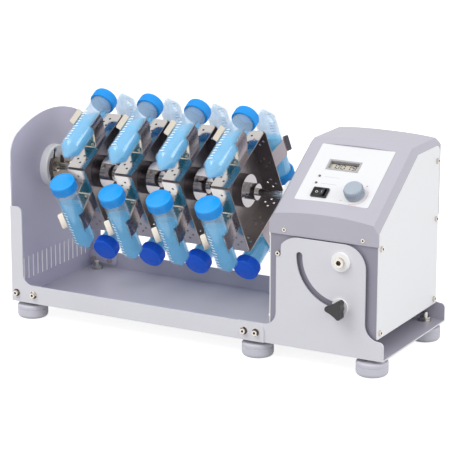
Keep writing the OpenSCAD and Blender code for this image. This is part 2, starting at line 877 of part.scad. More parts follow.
module left_panel() {
    color([0.95, 0.95, 0.96]) at_origin() side_panel(head_x);
}

module panel_screws() {
    color([0.7, 0.68, 0.65]) at_origin() {
        panel_screw_places() {
            translate([head_x + head_w, 0, 0]) rotate([0, 90, 0])
                socket_screw(small_screw_d, button_d, button_h, small_screw_l);
            translate([head_x, 0, 0]) rotate([0, -90, 0])
                socket_screw(small_screw_d, button_d, button_h, small_screw_l);
        }
        for (s = [-1, 1]) {
            translate([head_mid + s*fascia_u, cover_y, fascia_z]) rotate([90, 0, 0])
                socket_screw(small_screw_d, 5.4, 0.8, 6);
        }
    }
}

module stop_screw() {
    color([0.78, 0.76, 0.72]) at_origin() translate([pivot_x - stop_at[0], plate_in - 0.4, pivot_z - stop_at[1]])
        rotate([90, 0, 0]) union() {
            socket_screw(small_screw_d, stop_d - 1, 2.8, head_y - plate_in + chassis_t + 4);
            translate([0, 0, -(head_y - plate_in)]) cylinder(d = stop_d - 1, h = head_y - plate_in);
        }
}

// ---------- controls ----------

module control_label() {
    color([0.96, 0.96, 0.97]) at_origin() difference() {
        on_slope() translate([0, label_v + label_h/2, label_face - label_t + 0.02]) linear_extrude(label_t - 0.02)
            rounded_rect(label_w, label_h, 1.5);
        control_cuts(20);
    }
}

module display_bezel() {
    inner_w = bezel_w - 2*bezel_rim;
    inner_h = bezel_h - 2*bezel_rim;
    color([0.62, 0.62, 0.64]) at_origin() on_slope() translate([bezel_at[0], bezel_at[1], 0]) difference() {
        translate([0, 0, -3]) linear_extrude(label_face + 3.3) square([bezel_w, bezel_h], center = true);
        translate([0, 0, -3 - eps]) linear_extrude(label_face + 4) square([inner_w, inner_h], center = true);
        translate([0, 0, -3 - eps]) linear_extrude(1.6) square([inner_w + 2, inner_h + 2], center = true);
    }
}

module display_window() {
    inner_w = bezel_w - 2*bezel_rim + 1.6;
    inner_h = bezel_h - 2*bezel_rim + 1.6;
    color([0.66, 0.69, 0.66]) at_origin() on_slope() translate([bezel_at[0], bezel_at[1], -3])
        linear_extrude(1.5) square([inner_w, inner_h], center = true);
}

module indicator_lamps() {
    color([0.35, 0.33, 0.33]) at_origin() on_slope() for (p = lamp_at) {
        translate([p[0], p[1], -6]) cylinder(d = lamp_d, h = 6 + label_face);
        translate([p[0], p[1], label_face]) intersection() {
            sphere(d = lamp_d);
            cylinder(d = lamp_d, h = lamp_d);
        }
    }
}

module switch_frame() {
    body_w = switch_w - 2.6;
    body_h = switch_h - 2;
    color([0.08, 0.08, 0.09]) at_origin() on_slope() translate([switch_at[0], switch_at[1], 0]) difference() {
        union() {
            translate([0, 0, label_face]) linear_extrude(2) rounded_rect(switch_w, switch_h, 1.2);
            translate([0, 0, -14]) linear_extrude(14 + label_face + eps) square([body_w, body_h], center = true);
        }
        translate([0, 0, -7]) linear_extrude(20) square([body_w - 2.2, body_h - 2.2], center = true);
    }
}

// Rocker that turns about an axis up the slope; at rest its left side is down
module switch_rocker() {
    half = switch_w/2 - 3.5;
    top = rocker_t - 3.4;
    color([0.12, 0.12, 0.13]) at_origin() on_slope() translate([switch_at[0], switch_at[1], label_face - 2.4])
        rotate([0, -rocker_swing/2, 0]) rotate([90, 0, 0]) translate([0, 0, -(switch_h - 5)/2])
        linear_extrude(switch_h - 5)
        polygon([[-half, top], [0, top - 1.6], [half, top], [half - 0.6, 0], [3, -3.4], [-3, -3.4], [-half + 0.6, 0]]);
}

// Speed potentiometer behind the cover, with its bush through the panel
module speed_control() {
    pot_d = 17;
    color([0.55, 0.55, 0.5]) at_origin() on_slope() translate([knob_at[0], knob_at[1], 0]) difference() {
        union() {
            translate([0, 0, -cover_wall - 10]) cylinder(d = pot_d, h = 9.9);
            translate([0, 0, -cover_wall - 0.2]) cylinder(d = bush_d, h = cover_wall + label_face + 2.2);
        }
        translate([0, 0, -cover_wall - 6]) cylinder(d = spindle_d + 2*run_gap, h = 40);
    }
}

// Knob with a ribbed skirt, a rounded top edge and its spindle
module speed_knob() {
    base = label_face + 0.8;
    skirt_r = knob_d/2;
    top_r = skirt_r - 1.8;
    color([0.68, 0.73, 0.78]) at_origin() on_slope() translate([knob_at[0], knob_at[1], 0]) difference() {
        union() {
            translate([0, 0, base]) rotate_extrude() difference() {
                polygon([[0, 0], [skirt_r, 0], [top_r, knob_h], [0, knob_h]]);
                translate([top_r + 0.2, knob_h]) mirror([1, 0]) mirror([0, 1]) corner_off(3);
            }
            translate([0, 0, -cover_wall - 5]) cylinder(d = spindle_d, h = cover_wall + 10 + base);
        }
        translate([0, 0, base - eps]) difference() {
            cylinder(r = skirt_r - 3, h = 4);
            translate([0, 0, -1]) cylinder(d = spindle_d, h = 6);
        }
        for (k = [0:KNOB_RIBS - 1]) {
            rotate(k*360/KNOB_RIBS) translate([skirt_r + 0.1, 0, base - eps]) rotate([0, -5, 0])
                cylinder(d = 1.5, h = knob_h - 4, $fn = 16);
        }
    }
}

// ---------- drive ----------

module gear_motor() {
    x = motor_plate_x + motor_plate_t;
    color([0.6, 0.6, 0.62]) at_origin() difference() {
        union() {
            rod_x(mid_y, axis_z, x, gearbox_l, gearbox_d);
            rod_x(mid_y, axis_z, x + gearbox_l, motor_l, motor_d);
            rod_x(mid_y, axis_z, x + gearbox_l + motor_l, 4, motor_d/2);
            rod_x(mid_y, axis_z, motor_plate_x - 1, motor_plate_t + 1 + eps, 2*motor_pilot);
        }
        rod_x(mid_y, axis_z, motor_plate_x - 2, gearbox_l, shaft_d - 2 + 2*run_gap);
    }
}

// Angle bracket on the housing floor with a round-headed plate for the gearbox
module motor_bracket() {
    plate_w = gearbox_d + 12;
    color([0.72, 0.72, 0.74]) at_origin() difference() {
        union() {
            rod_x(mid_y, axis_z, motor_plate_x, motor_plate_t, plate_w);
            translate([motor_plate_x, mid_y - plate_w/2, head_bottom + chassis_t])
                cube([motor_plate_t, plate_w, axis_z - head_bottom - chassis_t]);
            translate([motor_plate_x, mid_y - plate_w/2, head_bottom + chassis_t])
                cube([34, plate_w, motor_plate_t]);
        }
        rod_x(mid_y, axis_z, motor_plate_x - 1, motor_plate_t + 2, 2*motor_pilot + 2*seat_gap);
    }
}

// White disc on the head's left side and the spigot behind it, which hold the two bearings
module shaft_hub() {
    seat = bearing_d + 2*seat_gap;
    color("white") at_origin() difference() {
        union() {
            translate([hub_x0, mid_y, axis_z]) rotate([0, 90, 0]) rotate_extrude() difference() {
                square([hub_disc_d/2, hub_disc_l]);
                translate([hub_disc_d/2, 0]) mirror([1, 0]) corner_off(2);
            }
            rod_x(mid_y, axis_z, head_x - eps, spigot_l, spigot_d);
        }
        rod_x(mid_y, axis_z, hub_x0 + hub_lip, hub_disc_l + spigot_l, seat);
        rod_x(mid_y, axis_z, hub_x0 - eps, hub_lip + 2*eps, shaft_d + 8);
    }
}

// One ball bearing with its two rings and shields shown as shallow grooves
module bearing(x) {
    difference() {
        rod_x(mid_y, axis_z, x, bearing_w, bearing_d);
        rod_x(mid_y, axis_z, x - eps, bearing_w + 2*eps, shaft_d + 2*run_gap);
        for (s = [x - eps, x + bearing_w - 0.5]) {
            difference() {
                rod_x(mid_y, axis_z, s, 0.5 + eps, bearing_d - 5);
                rod_x(mid_y, axis_z, s - eps, 1, shaft_d + 5);
            }
        }
    }
}

module shaft_bearings() {
    color([0.8, 0.8, 0.82]) at_origin() {
        bearing(hub_x0 + hub_lip);
        bearing(head_x + spigot_l - bearing_w);
    }
}

module circuit_board() {
    board_t = 1.6;
    color([0.1, 0.4, 0.2]) at_origin() on_slope() translate([-8, label_v + 62, -16]) union() {
        linear_extrude(board_t) rounded_rect(72, 44, 2);
        translate([-25, -10, board_t - eps]) cube([40, 13, 5]);
        translate([-20, 14, -6 + eps]) cube([18, 8, 6]);
        translate([8, -14, -8 + eps]) cube([14, 14, 8]);
    }
}

module power_supply() {
    depth = 52;
    color([0.75, 0.75, 0.72]) at_origin()
        translate([head_x + 12, head_back - chassis_t - 1 - depth, head_bottom + chassis_t]) difference() {
            cube([92, depth, 30]);
            for (k = [0:7]) {
                translate([10 + 10*k, 11, 28]) cube([3, 30, 3]);
            }
        }
}

module power_inlet() {
    color([0.1, 0.1, 0.11]) at_origin() translate([inlet_x, cover_back, inlet_z]) rotate([-90, 0, 0]) difference() {
        union() {
            linear_extrude(1.8) rounded_rect(inlet_w + 5, inlet_h + 5, 3);
            translate([0, 0, -22]) linear_extrude(22 + eps) rounded_rect(inlet_w - 0.3, inlet_h - 0.3, 2);
        }
        translate([0, 0, -15]) linear_extrude(20) rounded_rect(inlet_w - 4, inlet_h - 4, 3);
    }
}

// ---------- rotor ----------

// Draws in the frames' own directions: Y along the first flange, Z out of it
module on_axis(x) {
    at_origin() translate([x, mid_y, axis_z]) rotate([frame_turn, 0, 0]) children();
}

function frame_x(i) = frame_end - frame_w - (FRAMES - i)*frame_pitch;

module shaft() {
    collar_l = 4;
    color([0.75, 0.74, 0.72]) at_origin() union() {
        rod_x(mid_y, axis_z, shaft_x0, coupling_mid - 0.5 - shaft_x0, shaft_d);
        rod_x(mid_y, axis_z, hub_x0 - collar_l - 0.5, collar_l, shaft_d + 2.5);
    }
}

// Coupling with the motor's output shaft in its right half
module shaft_coupling() {
    color([0.65, 0.65, 0.68]) at_origin() difference() {
        union() {
            rod_x(mid_y, axis_z, coupling_x0, coupling_l, coupling_d);
            rod_x(mid_y, axis_z, coupling_mid + 1, coupling_l/2 + 12, shaft_d - 2);
        }
        rod_x(mid_y, axis_z, coupling_x0 - eps, coupling_l/2 + eps, shaft_d + 2*seat_gap);
        translate([coupling_x0 - eps, mid_y - 0.5, axis_z]) cube([coupling_l/2, 1, coupling_d]);
    }
}

// Outline of one flange: X across its width from the bend, Y along it, centred
module frame_flange_outline() {
    difference() {
        translate([0, -flange_len/2]) square([frame_w, flange_len]);
        for (m = [0, 1]) {
            mirror([0, m]) translate([frame_w, flange_len/2]) mirror([1, 0]) mirror([0, 1])
                corner_off(flange_corner);
        }
        for (v = [-pattern_at, 0, pattern_at], a = [0:90:270]) {
            translate([frame_w/2 + hole_circle/2*cos(a), v + hole_circle/2*sin(a)]) circle(d = hole_d, $fn = 32);
        }
    }
}

// Square pan folded from one sheet, open towards +X
module frame_pan(i) {
    color([0.72, 0.71, 0.7]) on_axis(frame_x(i)) difference() {
        union() {
            translate([0, -flange_len/2, -half_s]) cube([frame_t, flange_len, frame_s]);
            translate([0, -half_s, -flange_len/2]) cube([frame_t, frame_s, flange_len]);
            for (q = [0:3]) {
                rotate([90*q, 0, 0]) translate([0, 0, half_s - frame_t]) linear_extrude(frame_t)
                    frame_flange_outline();
            }
        }
        rod_x(0, 0, -1, frame_t + 2, shaft_d + 2*clear);
        for (a = [0:120:240]) {
            rotate([a, 0, 0]) rod_x(hub_screw_r, 0, -1, frame_t + 2, screw_d + clear);
        }
    }
}

// Flanged hub with a stepped boss and a set screw hole
module frame_hub(i) {
    on_axis(frame_x(i) + frame_t) difference() {
        union() {
            rod_x(0, 0, 0, hub_flange_l, 2*hub_flange_r);
            rod_x(0, 0, 0, hub_flange_l + hub_boss_l, 2*hub_boss_r);
        }
        rod_x(0, 0, -eps, hub_flange_l + hub_boss_l + 2*eps, shaft_d + 2*seat_gap);
        translate([hub_flange_l + hub_boss_l/2, 0, 0]) cylinder(d = 5, h = hub_boss_r + 1);
        for (a = [0:120:240]) {
            rotate([a, 0, 0]) rod_x(hub_screw_r, 0, -eps, 10, screw_d + 2*seat_gap);
        }
    }
}

module frame_hubs() {
    color([0.5, 0.49, 0.5]) for (i = [1:FRAMES]) {
        frame_hub(i);
    }
}

// Straight strip of thickness t on the left of the line from p to q
module strip(p, q, t) {
    d = (q - p)/norm(q - p);
    n = [-d[1], d[0]]*t;
    polygon([p, q, q + n, p + n]);
}

// Half of a clip's outline: foot, arm, grip round the tube and flared lip. X across, Y outwards.
module clip_half() {
    c = [0, tube_off];
    outer_r = clip_r + clip_t;
    grip_low = c + outer_r*[cos(clip_low), sin(clip_low)];
    grip_high = c + clip_r*[cos(clip_high), sin(clip_high)];
    lip_dir = [cos(38), sin(38)];
    translate([-eps, 0]) square([clip_foot + eps, clip_t]);
    strip([clip_foot, 0], grip_low, clip_t);
    translate(c) intersection() {
        difference() {
            circle(outer_r);
            circle(clip_r);
        }
        polygon([[0, 0], 3*outer_r*[cos(clip_low), sin(clip_low)], [3*outer_r, 3*outer_r],
            3*outer_r*[cos(clip_high), sin(clip_high)]]);
    }
    strip(grip_high, grip_high + lip_l*lip_dir, clip_t);
}

// One spring clip with rounded lips and screw holes, on the flange's outer face
module tube_clip() {
    rotate([90, 0, 0]) translate([0, 0, -clip_w/2]) linear_extrude(clip_w) {
        clip_half();
        mirror([1, 0]) clip_half();
    }
}

// Calls its children on each of the four flanges: X along the shaft, Y along the flange, Z outwards
module on_flanges(i) {
    on_axis(frame_x(i)) for (q = [0:3]) {
        rotate([90*q, 0, 0]) translate([frame_w - tube_in, 0, half_s]) children();
    }
}

module clips(i) {
    color([0.78, 0.76, 0.73]) on_flanges(i) difference() {
        tube_clip();
        for (s = [-1, 1]) {
            translate([frame_w/2 - (frame_w - tube_in), s*clip_screw, -1]) cylinder(d = hole_d, h = 4);
        }
    }
}

// Conical tube along Y, with its tip at y = 0
module tube_body() {
    rotate([-90, 0, 0]) rotate_extrude() polygon([[0, 0], [3.4, 0], [tube_r, cone_l], [tube_r, tube_l],
        [tube_r - tube_wall, tube_l], [tube_r - tube_wall, cone_l + 0.6], [2.8, tube_wall], [0, tube_wall]]);
}

module tube_cap() {
    translate([0, tube_reach - cap_h, 0]) rotate([-90, 0, 0]) difference() {
        rotate_extrude() difference() {
            square([cap_d/2, cap_h]);
            translate([cap_d/2, cap_h]) mirror([1, 0]) mirror([0, 1]) corner_off(cap_edge);
        }
        translate([0, 0, -eps]) cylinder(d = cap_d - 2*cap_wall, h = cap_h - cap_wall + eps);
    }
}

// Places a tube in its clip, its cap towards +Y
module in_clip() {
    translate([0, -tube_reach/2 - tube_slip, tube_off]) children();
}

module tubes() {
    color([0.7, 0.9, 0.97, 0.6]) for (i = [1:FRAMES]) {
        on_flanges(i) in_clip() tube_body();
    }
}

module caps() {
    color([0.1, 0.5, 0.9]) for (i = [1:FRAMES]) {
        on_flanges(i) in_clip() tube_cap();
    }
}

// Clip screws, hub screws and set screws of every frame
module rotor_screws() {
    color([0.7, 0.69, 0.66]) for (i = [1:FRAMES]) {
        on_flanges(i) for (s = [-1, 1]) {
            translate([frame_w/2 - (frame_w - tube_in), s*clip_screw, clip_t])
                socket_screw(hole_d - 0.2, 5.6, 1.8, clip_t + frame_t + 1);
        }
        on_axis(frame_x(i)) {
            for (a = [0:120:240]) {
                rotate([a, 0, 0]) translate([0, hub_screw_r, 0]) rotate([0, -90, 0])
                    socket_screw(screw_d, socket_d - 1, 3, frame_t + 8);
            }
            translate([frame_t + hub_flange_l + hub_boss_l/2, 0, shaft_r + seat_gap])
                cylinder(d = 5 - 2*seat_gap, h = hub_boss_r - shaft_r);
        }
    }
}

// ---------- parts ----------

base_tray();
end_plate();
tilt_bracket();
end_boss();
shaft_saddle();
base_screws();
foot_nuts();
foot_pad(1);  // foot_pad_1
foot_pad(2);  // foot_pad_2
foot_pad(3);  // foot_pad_3
foot_pad(4);  // foot_pad_4
foot_pad(5);  // foot_pad_5
foot_pad(6);  // foot_pad_6
foot_stud(1);  // foot_stud_1
foot_stud(2);  // foot_stud_2
foot_stud(3);  // foot_stud_3
foot_stud(4);  // foot_stud_4
foot_stud(5);  // foot_stud_5
foot_stud(6);  // foot_stud_6
pivot_bolts();
pivot_washers();
lock_washer();
lock_stud();
lock_knob();
head_chassis();
top_cover();
right_panel();
left_panel();
panel_screws();
stop_screw();
control_label();
display_bezel();
display_window();
indicator_lamps();
switch_frame();
switch_rocker();
speed_control();
speed_knob();
gear_motor();
motor_bracket();
shaft_hub();
shaft_bearings();
circuit_board();
power_supply();
power_inlet();
shaft();
shaft_coupling();
frame_pan(1);  // frame_1
frame_pan(2);  // frame_2
frame_pan(3);  // frame_3
frame_pan(4);  // frame_4
frame_hubs();
clips(1);  // clips_1
clips(2);  // clips_2
clips(3);  // clips_3
clips(4);  // clips_4
tubes();
caps();
rotor_screws();
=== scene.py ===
"""Looks of a tube rotator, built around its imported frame: paint, moulded and metal finishes with rounded
edges, the control panel's prints and display, and the capped tubes with their liquid and graduations."""
import json
import math

import bmesh
import bpy
from mathutils import Matrix, Vector

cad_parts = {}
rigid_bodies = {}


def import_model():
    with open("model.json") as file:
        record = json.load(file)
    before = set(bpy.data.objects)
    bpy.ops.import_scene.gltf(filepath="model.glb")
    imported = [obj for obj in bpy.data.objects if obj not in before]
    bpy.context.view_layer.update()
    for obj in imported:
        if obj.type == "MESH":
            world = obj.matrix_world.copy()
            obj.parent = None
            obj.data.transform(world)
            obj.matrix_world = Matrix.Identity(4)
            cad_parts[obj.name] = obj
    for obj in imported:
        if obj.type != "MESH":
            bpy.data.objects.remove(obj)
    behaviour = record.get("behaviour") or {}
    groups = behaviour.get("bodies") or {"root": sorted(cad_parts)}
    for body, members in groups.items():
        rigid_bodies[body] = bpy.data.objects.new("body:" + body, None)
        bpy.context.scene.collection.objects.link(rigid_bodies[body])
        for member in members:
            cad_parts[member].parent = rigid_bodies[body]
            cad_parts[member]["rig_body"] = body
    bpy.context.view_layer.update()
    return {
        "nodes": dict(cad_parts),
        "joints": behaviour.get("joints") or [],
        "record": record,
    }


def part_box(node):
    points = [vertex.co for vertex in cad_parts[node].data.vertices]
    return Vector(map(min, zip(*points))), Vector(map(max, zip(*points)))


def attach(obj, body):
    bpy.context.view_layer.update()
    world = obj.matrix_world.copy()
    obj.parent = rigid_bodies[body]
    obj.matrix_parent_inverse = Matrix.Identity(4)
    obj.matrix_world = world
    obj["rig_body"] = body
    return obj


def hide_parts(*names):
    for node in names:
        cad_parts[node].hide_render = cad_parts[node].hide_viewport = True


bl_info = {
    "name": "Tube Rotator",
    "version": (1, 0, 0),
    "blender": (4, 5, 0),
    "location": "3D View > Sidebar > Rotator",
    "description": "Dresses the frame of a bench tube rotator",
    "category": "Object",
}

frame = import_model()
nodes = frame["nodes"]
joints = {joint["name"]: joint for joint in frame["joints"]}

MM = 0.001

# Rotor: the shaft's line, the turn of the frames at rest and the flanges' outer faces from the line
SHAFT = Vector(joints["rotor_spin"]["pos_m"])
FRAME_TURN = math.radians(30.5)
FRAME_NODES = ("frame_1", "frame_2", "frame_3", "frame_4")
FLANGES = 4
FLANGE_FACE = 57 * MM

# Tubes: axis from each flange and from a frame's right edge, size, slip by flange and frame, marks, liquid
TUBE_OFF = [29.5 * MM, 32.4 * MM, 32.4 * MM, 28.7 * MM]
TUBE_IN = 14.8 * MM
TUBE_RADIUS = 14.6 * MM
TUBE_WALL = 1.3 * MM
TUBE_LENGTH = 119 * MM
TUBE_REACH = 120.6 * MM
TUBE_SLIP = [[6.4, 6.4, 6.5, 9.5], [-3.6, 4, 2.5, 1], [-1.5, -1.5, -2, 0.5], [5, 5, 5, 5]]
CONE_LENGTH = 16 * MM
TIP_RADIUS = 3.4 * MM
CAP_RADIUS = 17.25 * MM
CAP_SKIN = CAP_RADIUS - 0.45 * MM
CAP_HEIGHT = 14 * MM
MARK_ANGLE = math.radians(76)
FIRST_MARK = CONE_LENGTH + 4 * MM
LEVEL_STEPS = 18

# Base: top of the tray's floor, the side plates' least distance from the middle, and the end plate's crown
FLOOR_TOP = 27 * MM
SIDE_OFF = 90 * MM
CROWN_RADIUS = 180 * MM
CROWN_DROP = 1 * MM
SHOULDER_RADIUS = 31 * MM
PLATE_HALF = 97 * MM

# Control panel: right, up the slope and outwards, from the knob's and the rocker's joints
PANEL_RIGHT = Vector((1, 0, 0))
PANEL_UP = Vector(joints["switch_rock"]["axis"])
PANEL_OUT = -Vector(joints["speed_knob_turn"]["axis"])
KNOB_AT = Vector((26, 44, 0)) * MM
PANEL_ORIGIN = Vector(joints["speed_knob_turn"]["pos_m"]) - KNOB_AT.x * PANEL_RIGHT - KNOB_AT.y * PANEL_UP
LABEL_FACE = 2.45 * MM
WINDOW_FACE = -1.5 * MM
KNOB_BASE = LABEL_FACE + 0.8 * MM
BEZEL_AT = Vector((-7.6, 89, 0)) * MM
LAMPS_AT = [Vector((-32.5, 67.7, 0)) * MM, Vector((-32.5, 56, 0)) * MM]
FILM = 0.05 * MM
PRINT_GAP = 0.01 * MM

# Stage: the floor's own colour and glow; each lamp's place, target, size and share of the key lamp's power
FLOOR_COLOUR = (0.5, 0.5, 0.51, 1)
FLOOR_GLOW = 0.85
FILL_COLOUR = (0.97, 0.98, 1, 1)
LAMPS = {"key_lamp": ((-0.9, -1.5, 2.2), (0, 0, 0.12), 1.8, 1),
         "side_lamp": ((2.4, -0.3, 1.3), (0.1, 0, 0.15), 1.4, 0.5)}


def srgb(red, green, blue):
    """Linear colour with full opacity from 0 to 255 display values."""
    def linear(value):
        value /= 255
        return value / 12.92 if value <= 0.04045 else ((value + 0.055) / 1.055) ** 2.4
    return (linear(red), linear(green), linear(blue), 1.0)


# ---------- node trees and materials ----------

class Nodes:
    """A node tree with short ways to add, feed and link its nodes."""

    def __init__(self, tree):
        self.tree = tree
        tree.nodes.clear()

    def feed(self, node, inputs):
        """Gives a node's inputs their values; a socket as a value is linked."""
        for key, value in inputs.items():
            if isinstance(value, bpy.types.NodeSocket):
                self.tree.links.new(value, node.inputs[key])
            else:
                node.inputs[key].default_value = value

    def add(self, kind, inputs=None, **settings):
        node = self.tree.nodes.new(kind)
        for key, value in settings.items():
            setattr(node, key, value)
        self.feed(node, inputs or {})
        return node


MATERIALS = {}


class Shader(Nodes):
    """A material's node tree round one surface."""

    def __init__(self, name):
        MATERIALS[name] = bpy.data.materials.new(name)
        MATERIALS[name].use_nodes = True
        super().__init__(MATERIALS[name].node_tree)
        self.surface = self.add("ShaderNodeBsdfPrincipled")
        self.add("ShaderNodeOutputMaterial", {"Surface": self.surface.outputs[0]})

    def put(self, **inputs):
        """Feeds the surface; an underscore in a name stands for a space."""
        self.feed(self.surface, {key.replace("_", " "): value for key, value in inputs.items()})

    def position(self, stretch=(1, 1, 1), offset=(0, 0, 0)):
        """Object coordinates, moved and stretched along the object's own directions."""
        place = self.add("ShaderNodeTexCoord").outputs["Object"]
        inputs = {"Vector": place, "Location": offset, "Scale": stretch}
        return self.add("ShaderNodeMapping", inputs).outputs[0]

    def noise(self, vector, scale, detail):
        inputs = {"Vector": vector, "Scale": scale, "Detail": detail, "Roughness": 0.55}
        return self.add("ShaderNodeTexNoise", inputs).outputs["Fac"]

    def spread(self, value, low, high, start=0.3, end=0.7):
        """Maps a factor from start..end to low..high."""
        inputs = {"Value": value, "From Min": start, "From Max": end, "To Min": low, "To Max": high}
        return self.add("ShaderNodeMapRange", inputs).outputs[0]

    def mix(self, factor, first, second):
        return self.add("ShaderNodeMix", {"Factor": factor, 6: first, 7: second}, data_type="RGBA").outputs[2]

    def tones(self, pattern, colour, tone, start=0.3, end=0.7):
        """The colour, a little darker and lighter with a pattern."""
        factor = self.spread(pattern, 0, 1, start, end)
        return self.mix(factor, shade(colour, 1 - tone), shade(colour, 1 + tone))

    def bump(self, height, depth, strength):
        inputs = {"Height": height, "Distance": depth, "Strength": strength}
        return self.add("ShaderNodeBump", inputs).outputs[0]


def shade(colour, factor=1):
    """The opaque colour made lighter or darker by a factor."""
    return tuple(min(1.0, channel * factor) for channel in colour[:3]) + (1.0,)


def coated(name, colour, rough, tone=0.03, grain=900, strength=0.35, **values):
    """Painted or moulded finish: a fine orange-peel grain and a slow drift of tone over the surface."""
    shader = Shader(name)
    where = shader.position()
    fine = shader.noise(where, grain, 2)
    slow = shader.noise(where, 9, 2)
    drift = shader.tones(slow, colour, tone)
    speck = shader.tones(fine, colour, tone, 0.35, 0.65)
    shader.put(Base_Color=shader.mix(0.35, drift, speck), Normal=shader.bump(fine, 0.03 * MM, strength),
               Roughness=shader.spread(slow, rough * 0.88, rough * 1.12), **values)


def steel(name, colour, rough, stretch, tone, strength=0.15):
    """Metal with a drawn or rolled grain: noise that is long one way and fine across it."""
    shader = Shader(name)
    grain = shader.noise(shader.position(stretch), 1, 3)
    slow = shader.noise(shader.position(), 22, 3)
    fine = shader.spread(grain, -rough * 0.25, rough * 0.25)
    shares = {0: fine, 1: shader.spread(slow, rough * 0.8, rough * 1.2)}
    roughness = shader.add("ShaderNodeMath", shares, operation="ADD").outputs[0]
    shader.put(Metallic=1, Base_Color=shader.tones(grain, colour, tone), Roughness=roughness,
               Normal=shader.bump(grain, 0.02 * MM, strength))


def turned(name, colour, rough):
    """Turned metal: fine rings round the shaft's line."""
    shader = Shader(name)
    where = shader.add("ShaderNodeSeparateXYZ", {0: shader.position(offset=(0, -SHAFT.y, -SHAFT.z))}).outputs
    across = shader.add("ShaderNodeCombineXYZ", {"Y": where["Y"], "Z": where["Z"]})
    radius = shader.add("ShaderNodeVectorMath", {0: across.outputs[0]}, operation="LENGTH")
    rings = shader.add("ShaderNodeCombineXYZ", {"X": where["X"], "Y": radius.outputs["Value"]})
    lines = shader.noise(rings.outputs[0], 5200, 1)
    slow = shader.noise(shader.position(), 40, 2)
    shader.put(Metallic=1, Base_Color=shader.tones(lines, colour, 0.08),
               Roughness=shader.spread(slow, rough * 0.8, rough * 1.25),
               Normal=shader.bump(lines, 0.015 * MM, 0.2))


def clear_plastic(name, colour, rough, cover, tone=0.04, **values):
    """See-through material that covers what lies behind by a share, with faint flow marks along the wall."""
    shader = Shader(name)
    flow = shader.noise(shader.position(), 85, 3)
    colours = shader.mix(shader.spread(flow, 0, 1), shade(colour, 1 - tone), shade(colour))
    roughness = shader.spread(flow, rough * 0.8, rough * 1.3)
    shader.put(Base_Color=colours, Roughness=roughness, Alpha=cover, **values)


def height_shaded(name, low, high, end, **values):
    """Painted shade by height: a colour that changes from a low height above the bench to an end height, with
    a fine grain.
    """
    shader = Shader(name)
    where = shader.position()
    height = shader.add("ShaderNodeSeparateXYZ", {0: where}).outputs["Z"]
    colours = shader.mix(shader.spread(height, 0, 1, 0.10, end), shade(low), shade(high))
    fine = shader.noise(where, 600, 2)
    tinted = shader.add("ShaderNodeVectorMath", {0: colours, "Scale": shader.spread(fine, 0.96, 1.04)},
                        operation="SCALE")
    shader.put(Base_Color=tinted.outputs[0], Roughness=shader.spread(fine, 0.27, 0.33), **values)


def build_materials(paint, rotor):
    """Every finish of the instrument, some with the colours of the two groups of settings."""
    coated("paint_light", paint.outside, 0.42)
    coated("paint_inside", paint.inside, 0.4)
    coated("paint_housing", paint.housing, 0.42)
    coated("paint_white", paint.panel, 0.38, tone=0.012)
    coated("cover_plastic", paint.cover, 0.46, grain=1400, strength=0.25)
    coated("paint_end", paint.end, 0.4)
    coated("white_plastic", srgb(250, 250, 249), 0.3, tone=0.012, strength=0.1)
    coated("label_film", srgb(234, 234, 235), 0.3, tone=0.008, grain=2200, strength=0.12)
    coated("bezel_plastic", srgb(178, 177, 178), 0.4)
    coated("black_plastic", srgb(20, 20, 23), 0.3, tone=0.15, strength=0.2)
    coated("knob_black", srgb(14, 14, 16), 0.16, tone=0.12, strength=0.06, Coat_Weight=0.3)
    coated("knob_plastic", srgb(172, 182, 194), 0.2, tone=0.02, strength=0.1)
    coated("foot_rubber", srgb(208, 207, 216), 0.55, grain=1500, strength=0.4)
    coated("print_red", srgb(222, 120, 106), 0.5, tone=0.05)
    coated("print_faint", srgb(200, 199, 204), 0.5, tone=0.01)
    coated("print_white", srgb(250, 252, 252), 0.5, tone=0.01)
    # Painted shade inside the screws' sockets.
    coated("socket_dark", srgb(62, 56, 54), 0.5, tone=0.2)
    coated("lcd", srgb(203, 196, 178), 0.25, strength=0.05)
    coated("lcd_dark", srgb(30, 26, 62), 0.45, tone=0.1)
    # Painted shadow of the display's bezel, laid on as a band.
    coated("lcd_shade", srgb(96, 92, 96), 0.4, tone=0.05)
    coated("lamp_lens", srgb(104, 98, 98), 0.12, tone=0.1, strength=0.05, Coat_Weight=0.5)
    coated("board", srgb(22, 92, 48), 0.4, tone=0.15, grain=400)
    # Painted shade on the caps: deeper blue near the tray, lighter blue higher up where the light falls.
    height_shaded("cap_plastic", rotor.cap_shaded, rotor.cap, 0.16)
    # Painted shade on the frames' web and inner faces, lighter low down and darker higher up.
    height_shaded("stainless_shade", srgb(176, 167, 165), srgb(122, 114, 116), 0.24, Metallic=0.7)
    steel("stainless", rotor.steel, 0.13, (60, 1400, 1400), 0.04, 0.06)
    steel("spring_steel", srgb(228, 220, 206), 0.2, (1500, 70, 1500), 0.04, 0.06)
    steel("spring_shade", srgb(140, 132, 138), 0.24, (1500, 70, 1500), 0.06, 0.06)
    steel("screw_steel", srgb(212, 204, 194), 0.2, (900, 900, 900), 0.1)
    steel("zinc", srgb(196, 194, 188), 0.3, (700, 700, 700), 0.12)
    steel("dark_steel", srgb(120, 112, 104), 0.28, (900, 900, 900), 0.2)
    turned("shaft_steel", srgb(196, 194, 190), 0.16)
    turned("hub_steel", srgb(172, 168, 170), 0.15)
    turned("motor_metal", srgb(176, 176, 180), 0.3)
    clear_plastic("tube_plastic", srgb(176, 212, 238), 0.1, 0.3, IOR=2.3)
    # Painted glow: the liquid gives off a faint light in its own colour.
    clear_plastic("liquid", rotor.liquid, 0.12, 0.9, 0.16, Emission_Color=shade(rotor.liquid),
                  Emission_Strength=0.24)


# ---------- meshes ----------

def put_in_scene(name, mesh):
    piece = bpy.data.objects.new(name, mesh)
    bpy.context.scene.collection.objects.link(piece)
    return piece


def mesh_of(bm, name, closed=False):
    """The mesh of a BMesh, which is freed; the faces of a closed one are turned outwards."""
    if closed:
        bmesh.ops.recalc_face_normals(bm, faces=bm.faces)
    mesh = bpy.data.meshes.new(name)
    bm.to_mesh(mesh)
    bm.free()
    return mesh


